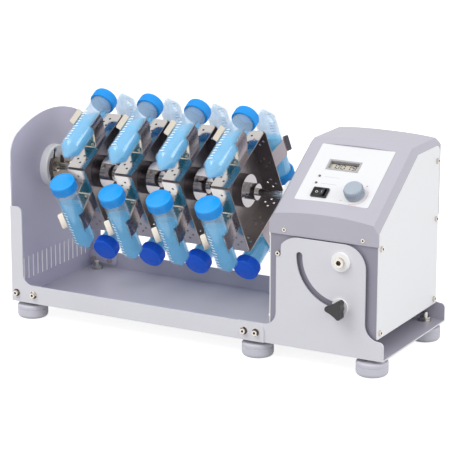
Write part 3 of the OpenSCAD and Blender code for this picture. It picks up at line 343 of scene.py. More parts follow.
def smooth(mesh, angle=35):
    """Smooth shading, with the edges steeper than the angle kept sharp."""
    mesh.polygons.foreach_set("use_smooth", [True] * len(mesh.polygons))
    mesh.set_sharp_from_angle(angle=math.radians(angle))


def applied(piece):
    """Turns the piece's modifiers into plain mesh."""
    graph = bpy.context.evaluated_depsgraph_get()
    mesh = bpy.data.meshes.new_from_object(piece.evaluated_get(graph))
    old = piece.data
    piece.modifiers.clear()
    piece.data = mesh
    if old.users == 0:
        bpy.data.meshes.remove(old)
    return piece


def merged_copy(node, name):
    """A copy of a CAD node's mesh with its points merged and its flat faces whole."""
    bm = bmesh.new()
    bm.from_mesh(nodes[node].data)
    bmesh.ops.remove_doubles(bm, verts=bm.verts, dist=0.002 * MM)
    bmesh.ops.dissolve_limit(bm, angle_limit=math.radians(0.4), verts=bm.verts, edges=bm.edges)
    return mesh_of(bm, name)


def rounded(piece, width, angle=35, segments=2):
    """Rounds the edges of a piece that are steeper than the angle."""
    bevel = piece.modifiers.new("Rounded edges", "BEVEL")
    bevel.width = width
    bevel.segments = segments
    bevel.limit_method = "ANGLE"
    bevel.angle_limit = math.radians(angle)
    bevel.use_clamp_overlap = True
    bevel.harden_normals = True
    smooth(piece.data, angle)
    return applied(piece)


def painted(piece, materials, choose=None):
    """Gives the piece its materials; choose(centre, normal) says which of them a face has."""
    piece.data.materials.clear()
    for name in materials:
        piece.data.materials.append(MATERIALS[name])
    for face in piece.data.polygons:
        face.material_index = choose(face.center, face.normal) if choose else 0
    return piece


def seated(piece, body, slot, *replaced):
    """The piece rides on a body and stands for CAD nodes; its slot is not used."""
    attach(piece, body)
    if replaced:
        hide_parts(*replaced)
    return piece


def standing(piece, node):
    """The piece stands for one CAD node, on its body."""
    return seated(piece, body_of(node), slot_of(node), node)


def body_of(node):
    return nodes[node]["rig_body"]


def slot_of(node):
    return next(part["material_slot"] for part in frame["record"]["subparts"] if part["node"] == node)


def dressed(node, materials, width=0.3 * MM, choose=None, angle=35, segments=2, reshape=None):
    """A piece in place of a CAD node: the same form with rounded edges and its finish."""
    if isinstance(materials, str):
        materials = [materials]
    mesh = merged_copy(node, node + "_shell")
    if reshape:
        reshape(mesh)
    piece = put_in_scene(node + "_shell", mesh)
    painted(piece, materials, choose)
    rounded(piece, width, angle, segments)
    return standing(piece, node)


def screw_set(node, width):
    """Screws in place of a CAD node, with painted shade on the walls and floors of their sockets."""
    mesh = merged_copy(node, node + "_shell")
    bm = bmesh.new()
    bm.from_mesh(mesh)
    left = set(bm.faces)
    while left:
        island, front = set(), [left.pop()]
        while front:
            face = front.pop()
            island.add(face)
            near = {other for edge in face.edges for other in edge.link_faces if other in left}
            left -= near
            front.extend(near)
        shade_socket(island)
    bm.to_mesh(mesh)
    bm.free()
    piece = put_in_scene(node + "_shell", mesh)
    for name in ("screw_steel", "socket_dark"):
        mesh.materials.append(MATERIALS[name])
    rounded(piece, width)
    return standing(piece, node)


def shade_socket(island):
    """Painted shade on the faces of one screw that lie inside its socket."""
    areas = [sum(face.calc_area() for face in island if abs(face.normal[k]) > 0.98) for k in range(3)]
    axis = Vector([float(k == areas.index(max(areas))) for k in range(3)])
    points = [vertex.co for face in island for vertex in face.verts]
    middle = Vector([(min(p[k] for p in points) + max(p[k] for p in points)) / 2 for k in range(3)])

    def parted(point):
        """Distance along the screw's axis from its middle, and the way out from the axis."""
        along = (point - middle).dot(axis)
        return along, point - middle - along * axis

    reach = max(parted(point)[1].length for point in points)
    walls = []
    for face in island:
        along, side = parted(face.calc_center_median())
        if side.length > 1e-6 and face.normal.dot(side.normalized()) < -0.5:
            face.material_index = 1
            walls.append(along)
    if not walls:
        return
    sign = 1 if sum(walls) > 0 else -1
    mouth = max(sign * parted(point)[0] for point in points)
    for face in island:
        along, side = parted(face.calc_center_median())
        floor = sign * face.normal.dot(axis) > 0.7 and sign * along < mouth - 0.4 * MM
        if floor and side.length < reach * 0.5:
            face.material_index = 1


def finished(node, material):
    """A CAD node that keeps its shape and gets a finish."""
    data = nodes[node].data
    data.materials.clear()
    data.materials.append(MATERIALS[material])


def revolved(name, profile, steps=64):
    """A closed solid of revolution about Z from (radius, height) points; radius 0 makes a pole."""
    bm = bmesh.new()
    rings = []
    for radius, height in profile:
        if radius < 1e-9:
            rings.append([bm.verts.new((0, 0, height))])
            continue
        angles = [2 * math.pi * k / steps for k in range(steps)]
        rings.append([bm.verts.new((radius * math.cos(a), radius * math.sin(a), height)) for a in angles])
    pairs = list(zip(rings, rings[1:]))
    if len(rings[0]) > 1:
        pairs.append((rings[-1], rings[0]))
    for low, high in pairs:
        for k in range(steps):
            n = (k + 1) % steps
            corners = (low[k % len(low)], low[n % len(low)], high[n % len(high)], high[k % len(high)])
            corners = list(dict.fromkeys(corners))
            if len(corners) > 2:
                bm.faces.new(corners)
    return mesh_of(bm, name, closed=True)


def arc_points(centre, radius, start, end, steps):
    """Points (x, y) on an arc, angles in degrees."""
    angles = [math.radians(start + (end - start) * k / steps) for k in range(steps + 1)]
    return [(centre[0] + radius * math.cos(a), centre[1] + radius * math.sin(a)) for a in angles]


def loft(bm, rings):
    """Adds a closed solid through rings of equally many points."""
    rings = [[bm.verts.new(point) for point in ring] for ring in rings]
    bm.faces.new(rings[0][::-1])
    bm.faces.new(rings[-1])
    for one, two in zip(rings, rings[1:]):
        for k in range(len(one)):
            n = (k + 1) % len(one)
            bm.faces.new((one[k], one[n], two[n], two[k]))


def flat_mesh(name, polygons, thickness):
    """Thin plates from closed outlines in X and Y, from Z = 0 to the thickness."""
    bm = bmesh.new()
    for outline in polygons:
        loft(bm, [[(x, y, z) for x, y in outline] for z in (0, thickness)])
    return mesh_of(bm, name, closed=True)


def bar(x, y, half_width, half_height):
    """Outline of a rectangle round its middle."""
    return [(x - half_width, y - half_height), (x + half_width, y - half_height),
            (x + half_width, y + half_height), (x - half_width, y + half_height)]


def panel_matrix(across, up, out):
    """Place on the sloping panel: X to the right, Y up the slope, Z outwards."""
    turn = Matrix((PANEL_RIGHT, PANEL_UP, PANEL_OUT)).transposed().to_4x4()
    at = PANEL_ORIGIN + across * PANEL_RIGHT + up * PANEL_UP + out * PANEL_OUT
    return Matrix.Translation(at) @ turn


def flange_place(index, flange):
    """Place on a flange: outwards from the shaft along Y, towards the tube's cap along Z."""
    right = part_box(FRAME_NODES[index])[1].x
    turn = Matrix.Rotation(FRAME_TURN + flange * math.pi / 2, 4, "X")
    stand = Matrix(((-1, 0, 0, 0), (0, 0, 1, 0), (0, 1, 0, 0), (0, 0, 0, 1)))
    return Matrix.Translation((right - TUBE_IN, SHAFT.y, SHAFT.z)) @ turn @ stand


def flange_matrix(index, flange):
    """Place of a tube: its tip at the origin, its axis along Z."""
    slip = TUBE_SLIP[flange][index] * MM
    return flange_place(index, flange) @ Matrix.Translation((0, FLANGE_FACE + TUBE_OFF[flange],
                                                             -TUBE_REACH / 2 - slip))


def tube_places():
    return [flange_matrix(index, flange) for index in range(len(FRAME_NODES)) for flange in range(FLANGES)]


# ---------- repeated pieces with Geometry Nodes ----------

class Tree(Nodes):
    """A Geometry Nodes tree with named inputs."""

    def __init__(self, name, **inputs):
        super().__init__(bpy.data.node_groups.new(name, "GeometryNodeTree"))
        self.sockets = {}
        for label, kind in {"Geometry": "Geometry", **inputs, "Material": "Material"}.items():
            socket = self.tree.interface.new_socket(label, in_out="INPUT", socket_type="NodeSocket" + kind)
            self.sockets[label] = socket.identifier
        self.tree.interface.new_socket("Geometry", in_out="OUTPUT", socket_type="NodeSocketGeometry")
        self.start = self.add("NodeGroupInput").outputs

    def finish(self, geometry):
        """Ends the tree in Realize Instances and Set Material."""
        real = self.add("GeometryNodeRealizeInstances", {0: geometry})
        inputs = {"Geometry": real.outputs[0], "Material": self.start["Material"]}
        paint = self.add("GeometryNodeSetMaterial", inputs)
        self.add("NodeGroupOutput", {0: paint.outputs[0]})

    def run(self, name, mesh, material, parts, **values):
        """A plain mesh piece made by the tree from a mesh, the meshes of its parts and its inputs' values."""
        parts = {label: put_in_scene(f"{name}_{label}", part) for label, part in parts.items()}
        piece = put_in_scene(name, mesh)
        modifier = piece.modifiers.new(self.tree.name, "NODES")
        modifier.node_group = self.tree
        for label, value in {**parts, **values, "Material": MATERIALS[material]}.items():
            modifier[self.sockets[label]] = value
        applied(piece)
        for part in parts.values():
            bpy.data.objects.remove(part)
        smooth(piece.data)
        return piece


def copies(name, piece, matrices, material):
    """A piece made of copies of a mesh on points that carry each copy's turn and size."""
    tree = Tree("Placed copies", Piece="Object")
    one = tree.add("GeometryNodeObjectInfo", {"Object": tree.start["Piece"], "As Instance": True})
    turn, size = (tree.add("GeometryNodeInputNamedAttribute", {"Name": label}, data_type="FLOAT_VECTOR")
                  for label in ("turn", "size"))
    place = tree.add("GeometryNodeInstanceOnPoints", {
        "Points": tree.start["Geometry"], "Instance": one.outputs["Geometry"],
        "Rotation": turn.outputs[0], "Scale": size.outputs[0]})
    tree.finish(place.outputs[0])
    return tree.run(name, points_mesh(name, matrices), material, {"Piece": piece})


def ribbed(name, body, rib, count, radius, material):
    """A piece made of a body and a rib repeated round its Z axis."""
    tree = Tree("Ribbed ring", Body="Object", Rib="Object", Ribs="Int", Radius="Float")
    start = tree.start
    body_info = tree.add("GeometryNodeObjectInfo", {"Object": start["Body"]})
    rib_info = tree.add("GeometryNodeObjectInfo", {"Object": start["Rib"], "As Instance": True})
    circle = tree.add("GeometryNodeMeshCircle", {"Vertices": start["Ribs"], "Radius": start["Radius"]})
    step = tree.add("ShaderNodeMath", {0: 2 * math.pi, 1: start["Ribs"]}, operation="DIVIDE")
    index = tree.add("GeometryNodeInputIndex")
    angle = tree.add("ShaderNodeMath", {0: index.outputs[0], 1: step.outputs[0]}, operation="MULTIPLY")
    about_z = tree.add("ShaderNodeCombineXYZ", {"Z": angle.outputs[0]})
    place = tree.add("GeometryNodeInstanceOnPoints", {
        "Points": circle.outputs[0], "Instance": rib_info.outputs["Geometry"],
        "Rotation": about_z.outputs[0]})
    join = tree.add("GeometryNodeJoinGeometry", {0: body_info.outputs["Geometry"]})
    tree.feed(join, {0: place.outputs[0]})
    tree.finish(join.outputs[0])
    parts = {"Body": body, "Rib": rib}
    return tree.run(name, bpy.data.meshes.new(name), material, parts, Ribs=count, Radius=radius)


def points_mesh(name, matrices):
    """One point for each place, with its turn and size as attributes."""
    mesh = bpy.data.meshes.new(name)
    mesh.from_pydata([matrix.translation for matrix in matrices], [], [])
    for label in ("turn", "size"):
        mesh.attributes.new(label, "FLOAT_VECTOR", "POINT")
    for k, matrix in enumerate(matrices):
        mesh.attributes["turn"].data[k].vector = matrix.to_euler()
        mesh.attributes["size"].data[k].vector = matrix.to_scale()
    return mesh


def block(name, size, centre):
    """A box with small chamfers on its long edges."""
    bm = bmesh.new()
    bmesh.ops.create_cube(bm, size=1)
    bmesh.ops.scale(bm, vec=size, verts=bm.verts)
    bmesh.ops.translate(bm, vec=centre, verts=bm.verts)
    bmesh.ops.bevel(bm, geom=bm.edges, offset=min(size) * 0.22, segments=1, affect="EDGES")
    return mesh_of(bm, name)


# ---------- settings ----------

def colour_setting(name, description, value):
    return bpy.props.FloatVectorProperty(name=name, description=description, default=value[:3], size=3,
                                         min=0, max=1, subtype="COLOR")


def length_setting(name, description, value):
    return bpy.props.FloatProperty(name=name, description=description, default=value, min=0,
                                   unit="LENGTH", subtype="DISTANCE", precision=5)


def angle_setting(name, description, degrees):
    return bpy.props.FloatProperty(name=name, description=description, default=math.radians(degrees),
                                   subtype="ANGLE")


class RotatorPaint(bpy.types.PropertyGroup):
    """Paint and plastics of the base and the head."""

    outside: colour_setting("Outside", "Powder coat on the outer faces of the base", srgb(224, 223, 228))
    # The inner faces of the base and of the end plate get darker colours than its outer faces.
    inside: colour_setting("Inside", "Powder coat on the inner faces of the base", srgb(190, 187, 200))
    end: colour_setting("End plate", "Powder coat on the end plate's inner face", srgb(206, 201, 219))
    housing: colour_setting("Housing", "Powder coat of the head's lower housing", srgb(152, 149, 163))
    panel: colour_setting("Panels", "Paint of the head's side panels", srgb(243, 243, 244))
    cover: colour_setting("Cover", "Moulded cover of the head", srgb(186, 184, 194))
    edge: length_setting("Sheet edge", "Rounding of the edges of the folded sheets", 0.35 * MM)
    soft_edge: length_setting("Moulded edge", "Rounding of the edges of the moulded cover", 1.2 * MM)


class RotatorRotor(bpy.types.PropertyGroup):
    """Finish of the frames, caps and tubes."""

    steel: colour_setting("Frame steel", "Reflectance of the frames' bright sheet", srgb(204, 201, 199))
    # Painted shade on the caps: their colour runs from the shaded colour near the tray to this lit colour
    # higher up.
    cap: colour_setting("Caps", "Moulded caps in the light", srgb(10, 160, 240))
    cap_shaded: colour_setting("Lower caps", "Moulded caps near the tray", srgb(0, 106, 244))
    liquid: colour_setting("Liquid", "Liquid in the tubes", srgb(66, 202, 244))
    air: length_setting("Air column", "Length of an upright tube's bore that holds air", 36 * MM)
    ribs: bpy.props.IntProperty(name="Cap ribs", description="Grip ribs round a cap",
                                default=60, min=12, max=120)
    marks: bpy.props.IntProperty(name="Graduations", description="Graduation lines on a tube",
                                 default=12, min=5, max=60)
    mark_pitch: length_setting("Graduation pitch", "Distance between two graduation lines", 5.0 * MM)


class RotatorStage(bpy.types.PropertyGroup):
    """Camera and light."""

    lens: bpy.props.FloatProperty(name="Lens", description="Focal length of the camera",
                                  default=167.1, min=20, unit="CAMERA")
    azimuth: angle_setting("Azimuth", "Camera's angle round the object", 28.72)
    elevation: angle_setting("Elevation", "Camera's angle above the floor", 14.88)
    roll: angle_setting("Roll", "Camera's turn about its own axis", 0.09)
    place: bpy.props.FloatVectorProperty(name="Place", description="Camera's place", size=3, unit="LENGTH",
                                         subtype="TRANSLATION", default=(1.2757, -2.3261, 0.8461))
    fill: bpy.props.FloatProperty(name="Fill", description="Strength of the all-round light",
                                  default=0.78, min=0)
    key: bpy.props.FloatProperty(name="Key", description="Power of the large lamp above",
                                 default=29, min=0, unit="POWER")


# ---------- operators ----------

class Maker(bpy.types.Operator):
    """Base of the operators that make pieces: their own shapes first, then the CAD nodes of their table."""

    bl_options = {"UNDO"}
    # Finish of each CAD node and the width of its rounded edges in millimetres, 0 to keep the node's shape
    parts = {}

    def execute(self, context):
        self.make(context.scene)
        for node, (material, width) in self.parts.items():
            if not width:
                finished(node, material)
            elif material == "screw_steel":
                screw_set(node, width * MM)
            else:
                dressed(node, material, width * MM)
        return {"FINISHED"}

    def make(self, scene):
        """Makes the shapes that are not in the table."""


def sheet_faces(centre, normal):
    """Faces of the folded base sheets: 0 for the outer faces' colour and 1 for the darker colour of the inner
    faces.
    """
    across = centre.y - SHAFT.y
    if abs(normal.z) > 0.9:
        return int(normal.z > 0 and centre.z < FLOOR_TOP)
    return int(abs(normal.y) > 0.9 and normal.y * across < 0 and abs(across) > SIDE_OFF)


def end_plate_faces(centre, normal):
    """1 for the end plate's inner face and tabs, which are darker, and 0 for the rest."""
    if normal.x > 0.9:
        return 1
    return int(abs(normal.y) > 0.9 and centre.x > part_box("end_plate")[0].x + 3 * MM)


def crown_height(across, top):
    """Height of the end plate's edge at a distance from its middle: a crown arc with round shoulders."""
    across = min(across, PLATE_HALF)
    shoulder = PLATE_HALF - SHOULDER_RADIUS
    rise = math.sqrt((CROWN_RADIUS - SHOULDER_RADIUS) ** 2 - shoulder ** 2)
    if across < shoulder * CROWN_RADIUS / (CROWN_RADIUS - SHOULDER_RADIUS):
        return top - CROWN_RADIUS + math.sqrt(CROWN_RADIUS ** 2 - across ** 2)
    return top - CROWN_RADIUS + rise + math.sqrt(max(0, SHOULDER_RADIUS ** 2 - (across - shoulder) ** 2))


def upper_edge(points):
    """The points on the upper convex edge of a set, from one side to the other."""
    edge = []
    for place, height in sorted(points):
        while len(edge) > 1:
            (first, low), (last, high) = edge[-2:]
            if (last - first) * (height - low) < (high - low) * (place - first):
                break
            edge.pop()
        edge.append((place, height))
    return edge


def height_on(profile, across):
    """Height of a line of (place, height) points at a place across."""
    for (near, low), (far, high) in zip(profile, profile[1:]):
        if near <= across <= far:
            return low + (high - low) * (across - near) / max(far - near, 0.001 * MM)
    return profile[0][1] if across < profile[0][0] else profile[-1][1]


def crowned(mesh):
    """Gives the end plate's upper edge one round crown between its shoulders."""
    low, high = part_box("end_plate")
    middle, start = (low.y + high.y) / 2, high.z - 2 * SHOULDER_RADIUS
    bm = bmesh.new()
    bm.from_mesh(mesh)
    bmesh.ops.bisect_plane(bm, geom=[*bm.verts, *bm.edges, *bm.faces],
                           plane_co=(0, 0, start), plane_no=(0, 0, 1))
    profile = upper_edge([(vertex.co.y, vertex.co.z) for vertex in bm.verts if vertex.co.z > start])
    cuts = [profile[0][0]]
    for place, _ in profile[1:]:
        gap = place - cuts[-1]
        if gap > 1.5 * MM:
            parts = math.ceil(gap / (5 * MM))
            cuts.extend([cuts[-1] + gap * (k + 1) / parts for k in range(parts)])
    for cut in cuts:
        faces = [face for face in bm.faces if min(vertex.co.z for vertex in face.verts) > start - 0.01 * MM]
        edges = {edge for face in faces for edge in face.edges}
        points = {vertex for face in faces for vertex in face.verts}
        bmesh.ops.bisect_plane(bm, geom=[*faces, *edges, *points], dist=0.02 * MM,
                               plane_co=(0, cut, 0), plane_no=(0, 1, 0))
    upper = [vertex for vertex in bm.verts if vertex.co.z > start + 1 * MM]
    bmesh.ops.remove_doubles(bm, verts=upper, dist=0.05 * MM)
    for vertex in bm.verts:
        old = height_on(profile, vertex.co.y)
        if vertex.co.z > start and old - start > 2 * MM:
            new = crown_height(abs(vertex.co.y - middle), high.z - CROWN_DROP)
            vertex.co.z = start + (vertex.co.z - start) * (new - start) / (old - start)
    bmesh.ops.recalc_face_normals(bm, faces=bm.faces)
    bm.to_mesh(mesh)
    bm.free()


class ROTATOR_OT_base(Maker):
    """Makes the tray, the end plate and the tilt bracket with rounded sheet edges, lighter outer faces and
    darker inner faces
    """

    bl_idname = "rotator.base"
    bl_label = "Base sheets"

    def make(self, scene):
        edge = scene.rotator_paint.edge
        sheet_colours = ["paint_light", "paint_inside"]
        dressed("base_tray", sheet_colours, edge, sheet_faces)
        dressed("tilt_bracket", sheet_colours, edge, sheet_faces)
        dressed("end_plate", ["paint_light", "paint_end"], edge, end_plate_faces, reshape=crowned)


class ROTATOR_OT_feet(Maker):
    """Makes the six rubber feet with their studs and nuts"""

    bl_idname = "rotator.feet"
    bl_label = "Feet"

    parts = {f"foot_pad_{k}": ("foot_rubber", 0) for k in range(1, 7)}
    parts |= {f"foot_stud_{k}": ("zinc", 0.15) for k in range(1, 7)}
    parts["foot_nuts"] = ("zinc", 0.25)


class ROTATOR_OT_base_fittings(Maker):
    """Makes the end boss, the shaft saddle, the pivots and the screws of the base"""

    bl_idname = "rotator.base_fittings"
    bl_label = "Base fittings"

    parts = {"end_boss": ("white_plastic", 0.3), "shaft_saddle": ("dark_steel", 0.5),
             "base_screws": ("screw_steel", 0.3), "pivot_bolts": ("screw_steel", 0.4),
             "pivot_washers": ("white_plastic", 0.5), "lock_washer": ("white_plastic", 0.4)}


class ROTATOR_OT_head(Maker):
    """Makes the head's cover, housing, side panels and their screws"""

    bl_idname = "rotator.head"
    bl_label = "Head shells"

    parts = {"right_panel": ("paint_white", 0.3), "left_panel": ("paint_white", 0.3),
             "panel_screws": ("screw_steel", 0.25), "stop_screw": ("screw_steel", 0.25)}

    def make(self, scene):
        paint = scene.rotator_paint
        dressed("top_cover", "cover_plastic", paint.soft_edge, angle=20, segments=4)
        dressed("head_chassis", "paint_housing", paint.edge)


class ROTATOR_OT_controls(Maker):
    """Makes the label, the display, the lamps and the switch"""

    bl_idname = "rotator.controls"
    bl_label = "Controls"

    parts = {"control_label": ("label_film", 0.15), "display_bezel": ("bezel_plastic", 0.3),
             "display_window": ("lcd", 0), "indicator_lamps": ("lamp_lens", 0),
             "switch_frame": ("black_plastic", 0.4), "switch_rocker": ("black_plastic", 0.5)}


class ROTATOR_OT_knobs(Maker):
    """Makes the ribbed speed knob and the three-sided lock knob"""

    bl_idname = "rotator.knobs"
    bl_label = "Knobs"

    parts = {"lock_stud": ("zinc", 0.2)}

    def make(self, scene):
        self.speed_knob()
        self.lock_knob()

    @staticmethod
    def speed_knob():
        """Ribbed knob with a rounded top edge and a shallow dish in its top, on its spindle."""
        base, top, height, edge = 12.4 * MM, 11.6 * MM, 13 * MM, 1.8 * MM
        spindle, sunk, skirt = 3 * MM, -2 * MM, 1.4 * MM
        profile = [(0, sunk), (spindle, sunk), (spindle, 0), (base, 0), (base, skirt - 0.2 * MM),
                   (base - 0.2 * MM, skirt), (top, height - edge)]
        profile += arc_points((top - edge, height - edge), edge, 0, 90, 6)[1:]
        profile += [(top - 3.2 * MM, height), (top - 4.2 * MM, height - 0.35 * MM), (0, height - 0.5 * MM)]
        body = revolved("knob_body", profile, 96)
        rib = block("knob_rib", (1.3 * MM, 1.0 * MM, 8.6 * MM), (0, 0, 5.6 * MM))
        piece = ribbed("speed_knob_shell", body, rib, 36, base - 0.25 * MM, "knob_plastic")
        piece.data.transform(panel_matrix(KNOB_AT.x, KNOB_AT.y, KNOB_BASE))
        standing(piece, "speed_knob")

    @staticmethod
    def lock_knob():
        """Three-sided knob with hollow flanks on a round neck, its back against the washer."""
        reach, corner, bow, dip = 9.6 * MM, 4 * MM, 60 * MM, 0.8 * MM
        neck, length = 4 * MM, 12 * MM
        flank = reach / 2 + corner - dip
        outline = []
        for turn in (60, 180, 300):
            tip = arc_points((0, 0), reach, turn, turn, 1)[0]
            outline += arc_points(tip, corner, turn - 56, turn + 56, 10)
            middle = arc_points((0, 0), flank + bow, turn + 60, turn + 60, 1)[0]
            outline += arc_points(middle, bow, turn + 245, turn + 235, 8)
        body = flat_mesh("lock_knob_body", [outline], length)
        body.transform(Matrix.Translation((0, 0, neck)))
        width, top = 7 * MM, neck + 1 * MM
        stem = revolved("lock_knob_neck", [(0, 0), (width, 0), (width, top), (0, top)], 48)
        bm = bmesh.new()
        bm.from_mesh(body)
        bm.from_mesh(stem)
        low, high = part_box("lock_washer")
        at = Vector(((low.x + high.x) / 2, low.y - 0.1 * MM, (low.z + high.z) / 2))
        bm.transform(Matrix.Translation(at) @ Matrix.Rotation(math.pi / 2, 4, "X"))
        piece = put_in_scene("lock_knob_shell", mesh_of(bm, "lock_knob_shell"))
        painted(piece, ["knob_black"])
        rounded(piece, 1.3 * MM, segments=4)
        standing(piece, "lock_knob")


class ROTATOR_OT_drive(Maker):
    """Gives the drive and the electrical parts inside the head their finish"""

    bl_idname = "rotator.drive"
    bl_label = "Drive"

    parts = {"shaft_hub": ("white_plastic", 0.5), "shaft_bearings": ("shaft_steel", 0),
             "gear_motor": ("motor_metal", 0), "shaft_coupling": ("motor_metal", 0),
             "motor_bracket": ("zinc", 0), "power_supply": ("zinc", 0), "speed_control": ("zinc", 0),
             "circuit_board": ("board", 0), "power_inlet": ("black_plastic", 0.4)}


def frame_faces(centre, normal):
    """0 for the outer faces of a frame's flanges and 1 for its web and inner faces, which get painted shade.
    """
    across = Matrix.Rotation(-FRAME_TURN, 3, "X") @ (centre - SHAFT)
    return int(max(abs(across.y), abs(across.z)) <= FLANGE_FACE - 0.3 * MM)


def clip_faces(middle):
    """Chooser for a clip's faces: 1 for the outside of its right arm, away from the light."""
    return lambda centre, normal: int(normal.x > 0.3 and centre.x > middle)


def clip_mesh(off):
    """One spring clip round a tube at a distance from its flange, with flared, rounded lips."""
    lean, grip, neck, lip = (math.radians(a) for a in (-11.6, 23.1, 35, 42))
    radius = TUBE_RADIUS + 0.15 * MM
    thick = 1 * MM
    half_width = 13 * MM
    lip_length = 7.4 * MM
    lip_round = 2.2 * MM

    def unit(angle):
        return Vector((math.cos(angle), math.sin(angle)))

    def mitre(one, two):
        both = unit(one) + unit(two)
        return both / (1 + unit(one).dot(unit(two)))

    middle = Vector((0, off))
    bend = middle + radius / math.cos((grip - lean) / 2) * unit((lean + grip) / 2)
    throat = middle + radius / math.cos(neck - grip) * unit(neck)
    out_bend = bend + thick * mitre(lean, grip)
    out_throat = throat + thick * mitre(grip, lip - math.pi / 2)
    foot = Vector((bend.x - (bend.y - thick) * math.tan(-lean), thick))
    out_foot = Vector((out_bend.x - out_bend.y * math.tan(-lean), 0))
    stations = [(Vector((0, thick)), Vector((0, 0)), half_width), (foot, out_foot, half_width),
                (bend, out_bend, half_width), (throat, out_throat, half_width)]
    steps = 5
    for k in range(steps + 1):
        back = lip_round * (1 - math.sin(math.pi / 2 * k / steps))
        side = lip_round * (1 - math.cos(math.pi / 2 * k / steps))
        along = throat + (lip_length - back) * unit(lip)
        stations.append((along, along + thick * unit(lip - math.pi / 2), half_width - side))
    mirrored = [(Vector((-a.x, a.y)), Vector((-b.x, b.y)), width) for a, b, width in stations[:0:-1]]
    bm = bmesh.new()
    loft(bm, [[(inner.x, inner.y, -width), (inner.x, inner.y, width), (outer.x, outer.y, width),
               (outer.x, outer.y, -width)] for inner, outer, width in mirrored + stations])
    return mesh_of(bm, "clip_one")


class ROTATOR_OT_frames(Maker):
    """Makes the shaft, the square frames, their hubs, clips and screws"""

    bl_idname = "rotator.frames"
    bl_label = "Frames"

    parts = {"shaft": ("shaft_steel", 0), "rotor_screws": ("screw_steel", 0.25)}

    def make(self, scene):
        for node in FRAME_NODES:
            dressed(node, ["stainless", "stainless_shade"], 0.2 * MM, frame_faces)
        dressed("frame_hubs", "hub_steel", 0.5 * MM)
        for index in range(len(FRAME_NODES)):
            self.clips(index)

    @staticmethod
    def clips(index):
        """The four spring clips of one frame."""
        bm = bmesh.new()
        for flange in range(FLANGES):
            mesh = clip_mesh(TUBE_OFF[flange])
            mesh.transform(flange_place(index, flange) @ Matrix.Translation((0, FLANGE_FACE, 0)))
            bm.from_mesh(mesh)
            bpy.data.meshes.remove(mesh)
        piece = put_in_scene(f"clip_set_{index + 1}", mesh_of(bm, "clip_set", closed=True))
        painted(piece, ["spring_steel", "spring_shade"], clip_faces(flange_place(index, 0).translation.x))
        rounded(piece, 0.15 * MM)
        standing(piece, f"clips_{index + 1}")


def cap_profile():
    """Closed outline of a cap as (radius, height), from its inner top round to its outer top."""
    bore, rim, top, wall = TUBE_RADIUS + 0.4 * MM, 1.2 * MM, CAP_HEIGHT, 1.6 * MM
    crease, dip = 0.3 * MM, 0.35 * MM
    outside = [(bore, 0), (CAP_SKIN - crease, 0), (CAP_SKIN, crease), (CAP_SKIN, top - rim)]
    outside += arc_points((CAP_SKIN - rim, top - rim), rim, 0, 90, 5)[1:]
    outside += [(CAP_SKIN - 2.2 * MM, top), (CAP_SKIN - 2.6 * MM, top - dip),
                (CAP_SKIN - 3.0 * MM, top - dip), (CAP_SKIN - 3.6 * MM, top - 0.1 * MM), (0, top - 0.1 * MM)]
    return [(bore, top - wall), (0, top - wall)] + outside[::-1]


class ROTATOR_OT_caps(Maker):
    """Makes the sixteen ribbed caps"""

    bl_idname = "rotator.caps"
    bl_label = "Caps"

    def make(self, scene):
        body = revolved("cap_body", cap_profile(), 72)
        size = (0.9 * MM, 0.85 * MM, CAP_HEIGHT - 3.2 * MM)
        rib = block("cap_rib", size, (0, 0, (CAP_HEIGHT - 1.6 * MM) / 2))
        one = ribbed("cap", body, rib, scene.rotator_rotor.ribs, CAP_SKIN, "cap_plastic")
        lift = Matrix.Translation((0, 0, TUBE_REACH - CAP_HEIGHT))
        piece = copies("cap_set", one.data.copy(), [place @ lift for place in tube_places()], "cap_plastic")
        bpy.data.objects.remove(one)
        seated(piece, "rotor", "cap_blue", "caps")


def tube_outline(inset, top):
    """Outer outline of a tube as (radius, height), shrunk by inset, from the tip's middle to the top."""
    radius = TUBE_RADIUS - inset
    tip = max(TIP_RADIUS - inset * 0.6, 0.5 * MM)
    cone = CONE_LENGTH + inset * 0.4
    return [(0, inset), (tip * 0.7, inset), (tip, inset + 0.5 * MM), (radius - 0.6 * MM, cone - 0.5 * MM),
            (radius, cone + 0.7 * MM), (radius, top)]


class ROTATOR_OT_tubes(Maker):
    """Makes the sixteen clear conical tubes"""

    bl_idname = "rotator.tubes"
    bl_label = "Tubes"

    def make(self, scene):
        profile = tube_outline(0, TUBE_LENGTH) + tube_outline(TUBE_WALL, TUBE_LENGTH)[::-1]
        shell = revolved("tube_one", profile, 64)
        piece = copies("tube_set", shell, tube_places(), "tube_plastic")
        seated(piece, "rotor", "tube_clear", "tubes")


def liquid_body(place, air):
    """Liquid of one tube at rest: the bore below a level surface that leaves the air column's volume."""
    gap = 0.05 * MM
    bore = TUBE_RADIUS - TUBE_WALL - gap
    top = TUBE_LENGTH - 0.2 * MM
    mesh = revolved("liquid_one", tube_outline(TUBE_WALL + gap, top) + [(0, top)], 48)
    mesh.transform(place)
    wanted = math.pi * bore ** 2 * air
    heights = [vertex.co.z for vertex in mesh.vertices]
    low, high = min(heights), max(heights)
    for _ in range(LEVEL_STEPS):
        level = (low + high) / 2
        bm = cut_at(mesh, level, True)
        if abs(bm.calc_volume()) > wanted:
            low = level
        else:
            high = level
        bm.free()
    return mesh_of(cut_at(mesh, level, False), "liquid_one")


def cut_at(mesh, level, keep_above):
    """The closed part of a mesh above or below a level."""
    bm = bmesh.new()
    bm.from_mesh(mesh)
    cut = bmesh.ops.bisect_plane(bm, geom=[*bm.verts, *bm.edges, *bm.faces], plane_co=(0, 0, level),
                                 plane_no=(0, 0, 1), clear_outer=not keep_above, clear_inner=keep_above)
    rim = [element for element in cut["geom_cut"] if isinstance(element, bmesh.types.BMEdge)]
    bmesh.ops.contextual_create(bm, geom=rim)
    bmesh.ops.recalc_face_normals(bm, faces=bm.faces)
    return bm


